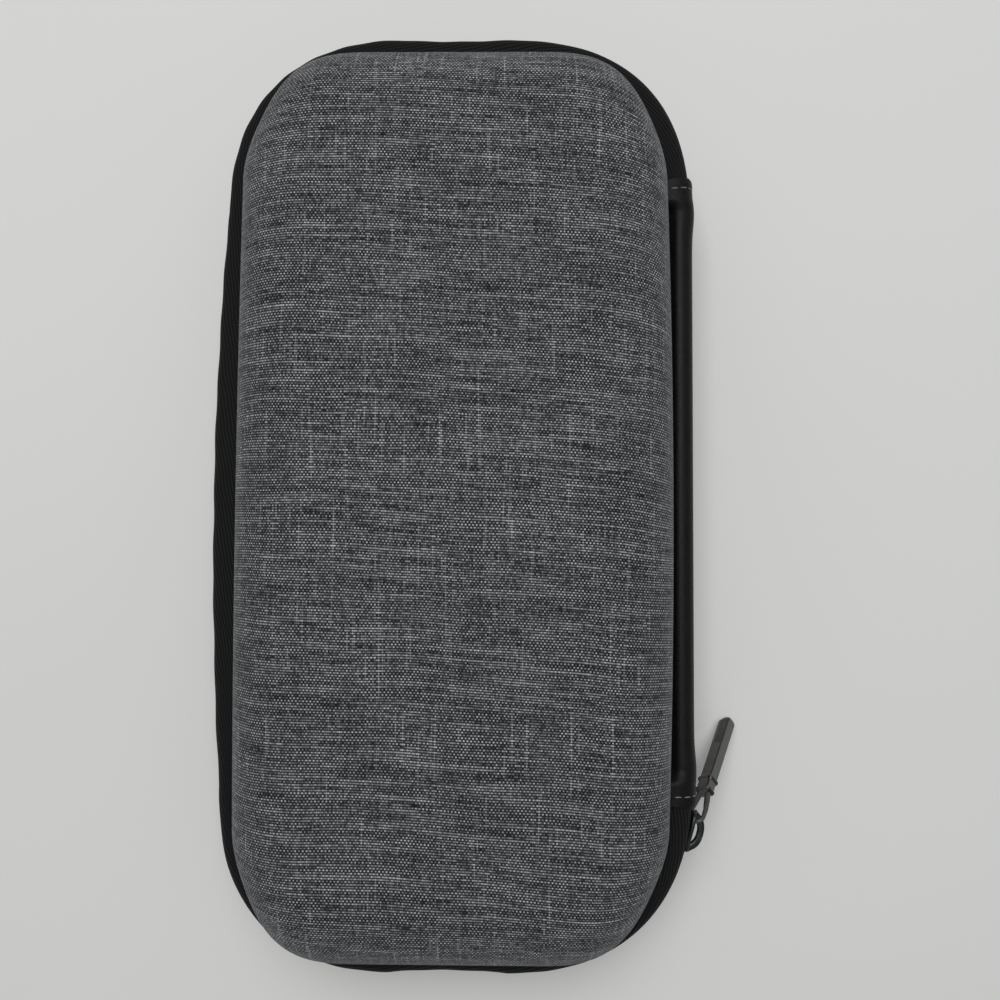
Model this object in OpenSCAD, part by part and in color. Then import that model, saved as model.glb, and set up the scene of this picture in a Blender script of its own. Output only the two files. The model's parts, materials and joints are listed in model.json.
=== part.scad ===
// Hard-shell carry case for tabletop miniatures.
// Two moulded half shells, a leatherette spine along the +X side, and a zip round the other three sides.
// The case lies on its base shell: z = 0 is the surface it rests on, +Y is its long direction.

/* [Shell] */
// Width of each half shell at its rim
shell_w = 152; // [140:1:165]
// Length of each half shell at its rim
shell_l = 313; // [290:1:330]
// Corner radius of the rim, seen from above
shell_corner = 46; // [42:1:52]
// Height of the closed case
case_h = 76; // [72:1:84]
// Radius of the rounded shoulder between side wall and flat top
shoulder_r = 29; // [24:1:30]
// Half of the gap between the two rims, which the zip fills
rim_gap = 8; // [8:0.5:9]

/* [Shell layers] */
// Woven outer cover
fabric_t = 0.6; // [0.4:0.1:0.8]
// Moulded foam-rubber shell
eva_t = 3.0; // [2.5:0.1:3.2]
// Knitted lining
lining_t = 0.4; // [0.3:0.1:0.5]

/* [Zip] */
// Distance from the centre to the zip's outer face on the opening side, -X
zip_left = 85.3; // [84:0.1:87]
// Distance from the centre to the zip's outer face on the spine side, +X
zip_right = 83.5; // [83:0.1:84]
// Half of the zip's length across its two short sides
zip_half_l = 165.6; // [164:0.1:168]
// Corner radius of the zip's outer face
zip_corner = 64; // [62:1:66]
// Thickness of the woven tape
tape_t = 0.6; // [0.5:0.1:0.7]
// Thickness of the nylon coil behind the tape
coil_t = 2.4; // [2:0.1:2.6]
// Height of one row of coil
coil_h = 2.0; // [1.6:0.1:2.1]

/* [Spine] */
// Thickness of the leatherette strip
strip_t = 1.0; // [0.8:0.1:1.1]
// Lower end of the strip along Y
strip_low = -108.4; // [-112:0.1:-106]
// Upper end of the strip along Y
strip_high = 116.4; // [110:0.1:118]

/* [Slider and pull] */
// Length of the slider's plates
slider_l = 14.4; // [12:0.1:15]
// Height of the slider's plates
slider_h = 10; // [10:0.1:10.6]
// Angle of the parked slider below the +X direction, about the zip's corner centre
slider_angle = 13.8; // [13:0.1:16]
// Length of the pull from the bridge to its tip
pull_l = 50; // [45:0.5:50]
// Width of the pull's grip
grip_w = 5.0; // [4.5:0.1:5.4]
// Thickness of the pull's grip
grip_t = 2.8; // [2.4:0.1:3.2]

/* [Foam] */
// Pockets across the base tray
pocket_cols = 3; // [3:1:3]
// Pockets along the base tray
pocket_rows = 5; // [4:1:5]
// Width of a pocket
pocket_w = 33; // [28:1:33]
// Length of a pocket
pocket_l = 44; // [38:1:44]
// Depth of a pocket
pocket_d = 26; // [20:1:26]
// Foam left between two pockets
pocket_wall = 8; // [6:1:8]

/* [Hidden] */
$fn = 96;

eps = 0.01;
mid_z = case_h / 2;                       // height of the plane that the zip closes in
shell_t = fabric_t + eva_t + lining_t;
cavity_z = mid_z - shell_t;               // from the middle plane to the lining of the flat top
shoulder_z = mid_z - shoulder_r;          // where the side wall turns into the shoulder

zip_x = (zip_right - zip_left) / 2;       // the zip's outline is off centre towards the opening side
zip_half_w = (zip_right + zip_left) / 2;
tape_gap = 0.8;                           // from the middle plane to the tape's edge
coil_gap = 0.9;                           // from the middle plane to the coil, so the slider's post passes
web_low = 6.2;                            // underside of the tape where it runs in under the rim
nose_r = 3;                               // outer radius of the tape where it turns in
flap_h = 16;                              // how far the tape reaches up inside the shell
tape_end = 8;                             // tape covered by each end of the strip
strip_outer = zip_corner + 0.3 + strip_t; // the strip's outer face, from the zip corner's centre

binding_t = 0.5;
foam_inset = shell_t + 1.4;               // from the outside of the fabric to the side of the foam
backing_t = 3;
tray_top = 1.5;                           // from the middle plane down to the tray's top
pad_low = 4;                              // from the middle plane up to the lid foam's crests
glue_gap = 0.2;

corner_x = zip_right - zip_corner;        // centre of the zip's corner by the parked slider
corner_y = -(zip_half_l - zip_corner);
plate_t = 1.0;
plate_gap = 0.4;                          // clearance between the tape and the outer plate
inner_plate_n = -(tape_t + coil_t + 0.6); // outer face of the inner plate
flange_h = 1.0;
plate_taper = 0.9;                        // how much narrower each side of a plate gets
bridge_out = 6.2;                         // how far the bridge stands out from the tape
bridge_r = 7.2;
bridge_t = 1.7;
bridge_h = 2.0;
loop_angle = 30;                          // where the cord sits round the bridge
cord_r = 0.7;
loop_r = 2.5;
cord_end = 10.2;                          // where the cord stops short of the grip
knuckle_gap = 0.2;
pull_elevation = 44.4;
pull_azimuth = 56.7;
pull_twist = -46;

module mirrored_half(upper) {
    translate([0, 0, mid_z]) mirror([0, 0, upper ? 0 : 1]) children();
}

// A rectangle with round corners, centred on x = cx.
module round_rect(half_w, half_l, r, cx = 0) {
    translate([cx, 0]) {
        square([2 * half_w, 2 * (half_l - r)], center = true);
        square([2 * (half_w - r), 2 * half_l], center = true);
        for (sx = [-1, 1], sy = [-1, 1])
            translate([sx * (half_w - r), sy * (half_l - r)]) circle(r);
    }
}

// The outline of the shell or of the zip, drawn in by d.
module shell_outline(d) { round_rect(shell_w / 2 - d, shell_l / 2 - d, shell_corner - d); }
module zip_outline(d) { round_rect(zip_half_w - d, zip_half_l - d, zip_corner - d, zip_x); }

// Carries a profile round a round-cornered rectangle.
// The profile's x is measured from the corner's centre, and its y is the height.
module carry_round(half_w, half_l, r, cx = 0) {
    flat_w = half_w - r;
    flat_l = half_l - r;
    translate([cx, 0, 0]) for (turn = [0:3]) {
        along = turn % 2 == 0 ? flat_l : flat_w;
        out = turn % 2 == 0 ? flat_w : flat_l;
        rotate(90 * turn) translate([out, 0, 0]) {
            rotate([90, 0, 0]) linear_extrude(2 * along, center = true) children();
            translate([0, along, 0]) rotate_extrude(angle = 90) children();
        }
    }
}

// ---- shells ----

// Half of a section through the moulded form, drawn in by d: side wall, shoulder and flat top.
module form_profile(d) {
    flat_r = shell_corner - shoulder_r;
    translate([0, rim_gap]) square([shell_corner - d, shoulder_z - rim_gap]);
    translate([0, rim_gap]) square([flat_r, mid_z - d - rim_gap]);
    intersection() {
        translate([flat_r, shoulder_z]) circle(shoulder_r - d);
        translate([0, shoulder_z]) square([shell_corner, shoulder_r]);
    }
}

// One layer of the shell, from d_out to d_in below the outside surface.
module form_layer(d_out, d_in) {
    carry_round(shell_w / 2, shell_l / 2, shell_corner)
        difference() {
            form_profile(d_out);
            form_profile(d_in);
        }
    flat = [shell_w - 2 * shell_corner, shell_l - 2 * shell_corner];
    translate([-flat[0] / 2, -flat[1] / 2, mid_z - d_in]) cube([flat[0], flat[1], d_in - d_out]);
}

// A slice of the solid that fills the form, drawn in by d, between two heights.
module form_slice(d, z_low, z_high) {
    carry_round(shell_w / 2, shell_l / 2, shell_corner)
        intersection() {
            union() {
                form_profile(d);
                square([shell_corner - d, rim_gap + eps]);
            }
            translate([0, z_low]) square([shell_corner, z_high - z_low]);
        }
    flat = [shell_w - 2 * shell_corner, shell_l - 2 * shell_corner];
    translate([-flat[0] / 2, -flat[1] / 2, z_low]) cube([flat[0], flat[1], z_high - z_low]);
}

module fabric(upper) { mirrored_half(upper) form_layer(0, fabric_t); }
module eva_shell(upper) { mirrored_half(upper) form_layer(fabric_t, fabric_t + eva_t); }
module lining(upper) { mirrored_half(upper) form_layer(fabric_t + eva_t, shell_t); }

// A band on the inside of the form, from d_out to d_in below the outside surface, up to the height flap_h.
module inner_band(d_out, d_in, z_low) {
    carry_round(shell_w / 2, shell_l / 2, shell_corner)
        intersection() {
            difference() {
                union() {
                    form_profile(d_out);
                    square([shell_corner - d_out, rim_gap + eps]);
                }
                form_profile(d_in);
                square([shell_corner - d_in, rim_gap + eps]);
            }
            translate([0, z_low]) square([shell_corner, flap_h - z_low]);
        }
}

// The bound edge that covers the seam inside the rim.
module binding(upper) { mirrored_half(upper) inner_band(shell_t + tape_t, shell_t + tape_t + binding_t, rim_gap); }

// ---- foam ----

module foam_backing(upper) {
    mirrored_half(upper) form_slice(foam_inset, cavity_z - backing_t, cavity_z - glue_gap);
}

module pocket() {
    r = 5;
    linear_extrude(pocket_d + 1) round_rect(pocket_w / 2, pocket_l / 2, r);
}

module foam_tray() {
    difference() {
        mirrored_half(false) form_slice(foam_inset, tray_top, cavity_z - backing_t);
        for (col = [0:pocket_cols - 1], row = [0:pocket_rows - 1])
            translate([
                (col - (pocket_cols - 1) / 2) * (pocket_w + pocket_wall),
                (row - (pocket_rows - 1) / 2) * (pocket_l + pocket_wall),
                mid_z - tray_top - pocket_d
            ]) pocket();
    }
}

module foam_pad() { mirrored_half(true) form_slice(foam_inset, pad_low, cavity_z - backing_t); }

// ---- zip ----

// The stretch of the +X side where the strip takes the zip's place.
module spine_opening() {
    low = strip_low + tape_end;
    high = strip_high - tape_end;
    translate([shell_corner, low, 0]) cube([2 * shell_corner, high - low, flap_h + 1]);
}

// Section of the tape where it faces outwards and turns in.
module nose_profile() {
    r0 = zip_corner - nose_r;
    z0 = web_low + tape_t - nose_r;
    translate([zip_corner - tape_t, tape_gap]) square([tape_t, z0 - tape_gap]);
    intersection() {
        translate([r0, z0]) difference() {
            circle(nose_r);
            circle(nose_r - tape_t);
        }
        translate([r0, z0]) square(nose_r);
    }
}

module zip_tape(upper) {
    mirrored_half(upper) difference() {
        union() {
            carry_round(zip_half_w, zip_half_l, zip_corner, zip_x) nose_profile();
            translate([0, 0, web_low]) linear_extrude(tape_t) difference() {
                zip_outline(nose_r);
                shell_outline(shell_t + tape_t);
            }
            inner_band(shell_t, shell_t + tape_t, web_low);
        }
        spine_opening();
    }
}

module zip_coil(upper) {
    mirrored_half(upper) difference() {
        translate([0, 0, coil_gap]) linear_extrude(coil_h) difference() {
            zip_outline(tape_t);
            zip_outline(tape_t + coil_t);
        }
        spine_opening();
    }
}

// ---- spine ----

// Section of a strip that bulges out from one rim and back in to the other, measured from the zip corner's
// centre. It lies d inside the hinge strip's outer face.
module strip_profile(d, thick) {
    outer = strip_outer - d;
    top = rim_gap - 0.1 - d;
    inner_edge = shell_w / 2 - 1.5 - corner_x;
    bend = 4 - d;
    intersection() {
        difference() {
            round_rect(outer, top, bend);
            round_rect(outer - thick, top - thick, bend - thick);
        }
        translate([inner_edge, -top]) square([outer, 2 * top]);
    }
}

// Angle that a point at y has gone round the zip's corner.
function corner_turn(y) = asin((abs(y) - abs(corner_y)) / zip_corner);

module strip_end(y) {
    mirror([0, y > 0 ? 0 : 1, 0]) translate([corner_x, abs(corner_y), 0])
        rotate_extrude(angle = corner_turn(y)) strip_profile(0, strip_t);
}

module spine_strip() {
    translate([0, 0, mid_z]) {
        translate([corner_x, 0, 0]) rotate([90, 0, 0]) linear_extrude(2 * abs(corner_y), center = true)
            strip_profile(0, strip_t);
        strip_end(strip_low);
        strip_end(strip_high);
    }
}

// Lining behind the hinge strip, between the two ends of the zip.
module spine_lining() {
    half_l = abs(strip_low) - tape_end - 1;
    translate([corner_x, 0, mid_z]) rotate([90, 0, 0]) linear_extrude(2 * half_l, center = true)
        strip_profile(strip_t + 0.1, lining_t);
}

// One row of stitches across the strip, over its outer face and its two turned-in faces.
module stitch_row(y) {
    thread = 0.35;
    stitch = 2.6;
    pitch = 3.4;
    turned_in = strip_outer - 7;
    translate([corner_x, sign(y) * abs(corner_y), mid_z]) rotate(sign(y) * corner_turn(y)) {
        for (k = [-1:1]) translate([strip_outer, -thread / 2, k * pitch - stitch / 2]) cube([thread, thread, stitch]);
        for (side = [0, 1]) mirror([0, 0, side])
            translate([turned_in, -thread / 2, rim_gap - 0.1]) cube([stitch, thread, thread]);
    }
}

module spine_stitches() {
    inset = 3.8;
    stitch_row(strip_low + inset);
    stitch_row(strip_high - inset);
}

// ---- slider and pull ----

// Puts its children in the parked slider's frame: +X outwards, +Y towards the strip, z = 0 in the middle plane.
module at_slider() {
    translate([corner_x, corner_y, mid_z]) rotate(-slider_angle) translate([zip_corner, 0, 0]) children();
}

// A shield-shaped plate: broad at the end that parts the zip, narrower at the other.
module slider_plate(n, thick) {
    broad = slider_h / 2;
    narrow = broad - plate_taper;
    half_l = slider_l / 2;
    r = 1.6;
    translate([n, 0, 0]) rotate([90, 0, 90]) linear_extrude(thick) {
        polygon([
            [half_l, r - broad], [half_l, broad - r], [half_l - r, broad], [r, broad],
            [-r, narrow], [r - half_l, narrow], [-half_l, narrow - r],
            [-half_l, r - narrow], [r - half_l, -narrow], [-r, -narrow],
            [r, -broad], [half_l - r, -broad]
        ]);
        for (side = [-1, 1]) {
            translate([half_l - r, side * (broad - r)]) circle(r);
            translate([r - half_l, side * (narrow - r)]) circle(r);
        }
    }
}

module slider_body() {
    flange_n = 2.4;
    flange_l = slider_l - 4;
    flange_z = slider_h / 2 - plate_taper - flange_h / 2;
    post_h = 1.2;
    post_l = 3.2;
    back = inner_plate_n - plate_t;
    at_slider() {
        slider_plate(plate_gap, plate_t);
        slider_plate(back, plate_t);
        for (side = [-1, 1])
            translate([inner_plate_n - eps, -flange_l / 2, side * flange_z - flange_h / 2])
                cube([flange_n, flange_l, flange_h]);
        translate([back + plate_t / 2, slider_l / 2 - post_l - 1, -post_h / 2])
            cube([plate_gap - back, post_l, post_h]);
    }
}

// The arched bridge that the pull hangs on.
module slider_bridge() {
    at_slider() translate([bridge_out - bridge_r, 0, -bridge_h / 2]) linear_extrude(bridge_h) intersection() {
        difference() {
            circle(bridge_r);
            circle(bridge_r - bridge_t);
        }
        translate([bridge_r - bridge_out + plate_gap + plate_t, -bridge_r]) square(2 * bridge_r);
    }
}

// Puts its children in the pull's frame: origin on the bridge's middle line, +X towards the tip.
module at_pull() {
    mean_r = bridge_r - bridge_t / 2;
    at_slider() translate([bridge_out - bridge_r, 0, 0]) rotate(loop_angle) translate([mean_r, 0, 0])
        rotate(slider_angle - loop_angle) rotate([pull_twist, pull_elevation, pull_azimuth]) children();
}

// A loop of cord: a half ring round the bridge and two legs to the grip.
module pull_cord() {
    at_pull() {
        rotate(90) rotate_extrude(angle = 180) translate([loop_r, 0]) circle(cord_r);
        for (side = [-1, 1]) translate([0, side * loop_r, 0]) rotate([0, 90, 0]) cylinder(r = cord_r, h = cord_end);
    }
}

// A slab with rounded ends, lying along +X.
module bar(x0, x1, w, t) {
    r = w / 2;
    translate([0, 0, -t / 2]) linear_extrude(t) {
        translate([x0, -r]) square([x1 - x0 - r, w]);
        translate([x1 - r, 0]) circle(r);
    }
}

module pull_grip() {
    knuckle_r = grip_t / 2;
    knuckle_x = cord_end + knuckle_gap + knuckle_r;
    neck_w = 2 * (loop_r + cord_r);
    rib_r = 0.9;
    panel_l = 14;
    panel_d = 0.4;
    at_pull() {
        difference() {
            union() {
                translate([knuckle_x, 0, 0]) rotate([90, 0, 0]) cylinder(r = knuckle_r, h = neck_w, center = true);
                translate([knuckle_x, -neck_w / 2, -grip_t / 2]) cube([1.6, neck_w, grip_t]);
                bar(knuckle_x + 1, pull_l, grip_w, grip_t);
            }
            translate([0, 0, grip_t / 2 - panel_d]) bar(pull_l - 1 - panel_l, pull_l - 1, grip_w - 1.6, 2 * panel_d);
        }
        for (x = [knuckle_x + 3.4, knuckle_x + 8.2])
            translate([x, 0, 0]) cube([2 * rib_r, grip_w + 1.4, grip_t + 1.0], center = true);
    }
}

color("dimgray") fabric(false);  // base_fabric
color("#2b2b2d") eva_shell(false);  // base_eva_shell
color("#1d1d1f") lining(false);  // base_lining
color("#18181a") binding(false);  // base_binding
color("#333336") foam_backing(false);  // base_foam_backing
color("#3c3c40") foam_tray();  // base_foam_tray
color("#151517") zip_tape(false);  // zip_tape_lower
color("#1f1f22") zip_coil(false);  // zip_coil_lower
color("#242427") spine_strip();
color("#1d1d1f") spine_lining();
color("#9a9a9c") spine_stitches();
color("dimgray") fabric(true);  // lid_fabric
color("#2b2b2d") eva_shell(true);  // lid_eva_shell
color("#1d1d1f") lining(true);  // lid_lining
color("#18181a") binding(true);  // lid_binding
color("#333336") foam_backing(true);  // lid_foam_backing
color("#3c3c40") foam_pad();  // lid_foam_pad
color("#151517") zip_tape(true);  // zip_tape_upper
color("#1f1f22") zip_coil(true);  // zip_coil_upper
color("#202224") slider_body();
color("#202224") slider_bridge();
color("#1a1a1c") pull_cord();
color("#3a3d3e") pull_grip();
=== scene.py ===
"""Looks of a hard-shell zip case for tabletop miniatures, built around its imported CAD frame.

Lengths are in millimetres in the row frame: +Z up, +Y along the case, +X towards the hinge strip. They become
metres where a mesh or a camera is written. Heights named h are measured from the plane the zip closes in, and
count away from it, so one formula serves both the lid and the base.
"""
import json
import logging
import math
from dataclasses import dataclass, field
from enum import Enum
from typing import Sequence

import bmesh
import bpy
import numpy as np
from mathutils import Matrix, Vector


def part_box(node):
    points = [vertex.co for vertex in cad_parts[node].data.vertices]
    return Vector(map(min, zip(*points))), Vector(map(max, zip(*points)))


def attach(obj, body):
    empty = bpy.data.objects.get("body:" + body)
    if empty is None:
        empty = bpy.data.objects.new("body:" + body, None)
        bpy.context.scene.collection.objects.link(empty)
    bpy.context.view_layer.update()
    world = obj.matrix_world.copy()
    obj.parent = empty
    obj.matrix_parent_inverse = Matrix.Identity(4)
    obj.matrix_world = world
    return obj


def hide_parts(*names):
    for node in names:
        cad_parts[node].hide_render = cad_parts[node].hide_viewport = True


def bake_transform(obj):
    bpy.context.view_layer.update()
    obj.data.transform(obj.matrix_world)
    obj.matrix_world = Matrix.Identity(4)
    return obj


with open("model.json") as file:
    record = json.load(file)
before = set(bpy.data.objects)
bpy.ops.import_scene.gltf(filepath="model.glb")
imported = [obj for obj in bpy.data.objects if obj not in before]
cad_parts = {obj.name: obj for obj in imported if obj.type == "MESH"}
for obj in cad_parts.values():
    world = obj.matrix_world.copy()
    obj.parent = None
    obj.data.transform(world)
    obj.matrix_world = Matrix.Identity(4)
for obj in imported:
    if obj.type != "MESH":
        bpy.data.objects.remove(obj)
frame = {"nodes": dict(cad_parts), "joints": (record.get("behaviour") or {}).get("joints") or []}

Array = np.ndarray
Colour = tuple[float, float, float]
MM = 0.001
GRIP_RIB_STEP = 4.8
log = logging.getLogger("case")


class Side(Enum):
    """Which half of the case a piece belongs to. The value is the direction of its heights."""

    BASE = -1
    LID = 1

    @property
    def body(self) -> str:
        """The CAD body that the half's pieces ride on."""
        return "lid" if self is Side.LID else "base"

    @property
    def tape(self) -> str:
        """The word that ends the names of the half's zip pieces."""
        return "upper" if self is Side.LID else "lower"


# ---- places taken from the frame ----


def node_box(node: str) -> tuple[Array, Array]:
    """A CAD node's lowest and highest corner, in millimetres.

    Args:
        node: The node's name.

    Returns:
        The two corners.
    """
    low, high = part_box(node)
    return np.array(low) / MM, np.array(high) / MM


def joint_axis(name: str) -> tuple[Array, Array]:
    """A hinge's place in millimetres, and its direction.

    Args:
        name: The joint's name.

    Returns:
        The point and the unit vector.
    """
    joint = next(j for j in frame["joints"] if j["name"] == name)
    axis = np.array(joint["axis"], float)
    return np.array(joint["pos_m"], float) / MM, axis / np.linalg.norm(axis)


# ---- meshes from grids of points ----


def unit(vectors: Array) -> Array:
    """Vectors scaled to length 1 along their last axis."""
    return vectors / np.maximum(np.linalg.norm(vectors, axis=-1, keepdims=True), 1e-12)


def arc(centre: tuple[float, float], radius: float, start: float, stop: float, count: int) -> Array:
    """Points on an arc in a plane.

    Args:
        centre: The arc's centre.
        radius: Its radius.
        start: The first point's angle in degrees.
        stop: The last point's angle in degrees.
        count: How many points.

    Returns:
        An array of count points.
    """
    angles = np.radians(np.linspace(start, stop, count))
    return np.stack([centre[0] + radius * np.cos(angles), centre[1] + radius * np.sin(angles)], -1)


def path_length(points: Array, closed: bool = False) -> Array:
    """Distance travelled at each point of a path, with the way back to the first point added if it is closed."""
    if closed:
        points = np.concatenate([points, points[:1]])
    steps = np.linalg.norm(np.diff(points, axis=0), axis=1)
    return np.concatenate([[0.0], np.cumsum(steps)])


def full_turn(count: int) -> Array:
    """The angles of count points evenly round a circle."""
    return np.arange(count) * 2 * math.pi / count


def smooth(share: Array) -> Array:
    """An even share from 0 to 1, made to start and end level."""
    return share * share * (3 - 2 * share)


def pattern(along: Array, across: Array) -> Array:
    """Pattern coordinates for a grid whose rows are at along and whose columns are at across."""
    return np.stack(np.meshgrid(along, across, indexing="ij"), -1)


def with_height(plan: Array, height: Array) -> Array:
    """A grid of flat points, given heights that may be one number a column."""
    return np.concatenate([plan, np.broadcast_to(height, plan.shape[:-1])[..., None]], -1)


def signed_power(values: Array, power: float) -> Array:
    """Each value's size raised to a power, with its sign kept: the arms of a superellipse."""
    return np.sign(values) * np.abs(values) ** power


class Builder:
    """Gathers grids of points into one mesh, and makes it an object at the origin.

    build turns every closed shape's faces outwards, so flip only picks the diagonal that a bent quad is split along.
    """

    def __init__(self) -> None:
        """Starts with no points."""
        self.points: list[Array] = []
        self.faces: list[Array] = []
        self.uvs: list[Array] = []
        self.count = 0

    def _add(self, points: Array, faces: Array, uv: Array | None) -> None:
        """Stores points, faces that index them, and each face corner's place in the pattern."""
        self.points.append(points.reshape(-1, 3))
        self.faces.append(faces + self.count)
        self.uvs.append(np.zeros((*faces.shape, 2)) if uv is None else uv)
        self.count += len(self.points[-1])

    def grid(self, points: Array, wrap_u: bool = False, wrap_v: bool = False, flip: bool = False,
             uv: Array | None = None) -> "Builder":
        """Adds the quads between neighbouring points of a grid.

        Args:
            points: The points, by u, then by v.
            wrap_u: Whether the last row joins the first.
            wrap_v: Whether the last column joins the first.
            flip: Whether each quad starts from its other end, which moves the diagonal it is split along.
            uv: Pattern coordinates, with one more row or column where the grid wraps.

        Returns:
            The builder.
        """
        nu, nv = points.shape[:2]
        u, v = np.meshgrid(np.arange(nu - (not wrap_u)), np.arange(nv - (not wrap_v)), indexing="ij")
        corners = [(u, v), (u + 1, v), (u + 1, v + 1), (u, v + 1)]
        if flip:
            corners.reverse()
        faces = np.stack([(a % nu) * nv + b % nv for a, b in corners], -1).reshape(-1, 4)
        laid = None if uv is None else np.stack([uv[a, b] for a, b in corners], -2).reshape(-1, 4, 2)
        self._add(points, faces, laid)
        return self

    def fan(self, ring: Array, centre: Array, flip: bool = False, uv: Array | None = None,
            uv_centre: Array | None = None) -> "Builder":
        """Closes a ring of points with triangles to its centre.

        Args:
            ring: The points of the ring.
            centre: The point in its middle.
            flip: Whether each quad starts from its other end, which moves the diagonal it is split along.
            uv: The ring's pattern coordinates.
            uv_centre: The centre's pattern coordinates.

        Returns:
            The builder.
        """
        n = len(ring)
        here = np.arange(n)
        there = (here + 1) % n
        order = [there, here] if flip else [here, there]
        faces = np.stack([*order, np.full(n, n)], -1)
        laid = None
        if uv is not None:
            all_uv = np.concatenate([uv[:n], [uv_centre]])
            laid = all_uv[faces]
        self._add(np.concatenate([ring, [centre]]), faces, laid)
        return self

    def slab(self, outer: Array, inner: Array, wrap_u: bool = False, flip: bool = False,
             uv: Array | None = None) -> "Builder":
        """Adds a closed solid between two grids of the same size, with its edges and its two ends.

        Args:
            outer: The points of the face that looks outwards.
            inner: The points behind them.
            wrap_u: Whether the last row joins the first.
            flip: Whether each quad starts from its other end, which moves the diagonal it is split along.
            uv: The outer face's pattern coordinates, which the inner face repeats.

        Returns:
            The builder.
        """
        around = np.concatenate([outer, inner[:, ::-1]], 1)
        laid = None
        if uv is not None:
            laid = np.concatenate([uv, uv[:, ::-1], uv[:, :1]], 1)
        self.grid(around, wrap_u, True, flip, laid)
        if not wrap_u:
            for row, turned in ((0, flip), (-1, not flip)):
                self.grid(np.stack([outer[row], inner[row]]), flip=turned)
        return self

    def tube(self, rings: Array, wrap_u: bool = False, flip: bool = False, uv: Array | None = None) -> "Builder":
        """Adds a tube of rings, with both ends closed by fans.

        Args:
            rings: The points, by ring, then around it.
            wrap_u: Whether the last ring joins the first.
            flip: Whether each quad starts from its other end, which moves the diagonal it is split along.
            uv: Pattern coordinates with one more column than points.

        Returns:
            The builder.
        """
        self.grid(rings, wrap_u, True, flip, uv)
        if not wrap_u:
            for row, turned in ((0, not flip), (-1, flip)):
                self.fan(rings[row], rings[row].mean(0), flip=turned)
        return self

    def copies(self, template: Array, faces: Array, places: Array, frames: Array) -> "Builder":
        """Repeats a small shape at many places.

        Args:
            template: The shape's points.
            faces: Its quads.
            places: Where each copy goes.
            frames: For each copy, the three directions that the shape's own axes turn to.

        Returns:
            The builder.
        """
        points = places[:, None] + np.einsum("pa,nab->npb", template, frames)
        index = faces[None] + (np.arange(len(places)) * len(template))[:, None, None]
        self._add(points.reshape(-1, 3), index.reshape(-1, faces.shape[1]), None)
        return self

    def build(self, name: str, merge: float = 0.001) -> bpy.types.Object:
        """Writes the mesh in metres, with every closed shape's faces turned outwards.

        Args:
            name: The piece's name.
            merge: Points nearer each other than this become one.

        Returns:
            The new object, smooth-shaded, with its pattern coordinates in the UV map "cloth".
        """
        points = np.concatenate(self.points) * MM
        faces, uvs = self.faces, self.uvs
        _, first, index = np.unique(np.round(points / (merge * MM)), axis=0, return_index=True,
                                    return_inverse=True)
        points, index = points[first], index.ravel()
        faces = [index[f] for f in faces]
        whole = [(np.diff(np.sort(f, axis=1), axis=1) > 0).all(1) for f in faces]
        cut = [self._triangles(f[~k]) for f, k in zip(faces, whole)]
        pairs = [(f[k], u[k]) for f, u, k in zip(faces, uvs, whole)] + [(f, np.zeros((*f.shape, 2))) for f in cut]
        faces, uvs = zip(*(pair for pair in pairs if len(pair[0])))
        mesh = bpy.data.meshes.new(name)
        mesh.vertices.add(len(points))
        mesh.vertices.foreach_set("co", points.astype(np.float32).ravel())
        totals = np.concatenate([np.full(len(f), f.shape[1]) for f in faces])
        loops = np.concatenate([f.ravel() for f in faces])
        mesh.loops.add(len(loops))
        mesh.loops.foreach_set("vertex_index", loops.astype(np.int32))
        mesh.polygons.add(len(totals))
        mesh.polygons.foreach_set("loop_start", (np.cumsum(totals) - totals).astype(np.int32))
        layer = mesh.uv_layers.new(name="cloth")
        places = np.concatenate([u.reshape(-1, 2) for u in uvs]) * MM
        layer.data.foreach_set("uv", places.astype(np.float32).ravel())
        mesh.update(calc_edges=True)
        mesh.validate()
        shape = bmesh.new()
        shape.from_mesh(mesh)
        bmesh.ops.recalc_face_normals(shape, faces=shape.faces)
        shape.to_mesh(mesh)
        shape.free()
        mesh.shade_smooth()
        piece = bpy.data.objects.new(name, mesh)
        bpy.context.scene.collection.objects.link(piece)
        return piece

    @staticmethod
    def _triangles(faces: Array) -> Array:
        """Quads in which two neighbouring corners became one, as triangles. All others are dropped."""
        kept = faces != np.roll(faces, -1, axis=1)
        whole = kept.sum(1) == 3
        return faces[whole][kept[whole]].reshape(-1, 3)


def ellipsoid(rings: int = 5, around: int = 6) -> tuple[Array, Array]:
    """A ball of radius 1 as quads: latitude runs along X, and each pole is a ring of points at one place.

    Args:
        rings: Rings from pole to pole.
        around: Points in a ring.

    Returns:
        The points and the quads.
    """
    polar = np.linspace(0, math.pi, rings)
    turn = full_turn(around)
    a, b = np.meshgrid(polar, turn, indexing="ij")
    points = np.stack([-np.cos(a), np.sin(a) * np.cos(b), np.sin(a) * np.sin(b)], -1).reshape(-1, 3)
    u, v = np.meshgrid(np.arange(rings - 1), np.arange(around), indexing="ij")
    quads = np.stack([u * around + v, u * around + (v + 1) % around, (u + 1) * around + (v + 1) % around,
                      (u + 1) * around + v], -1).reshape(-1, 4)
    return points, quads[:, ::-1]


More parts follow.
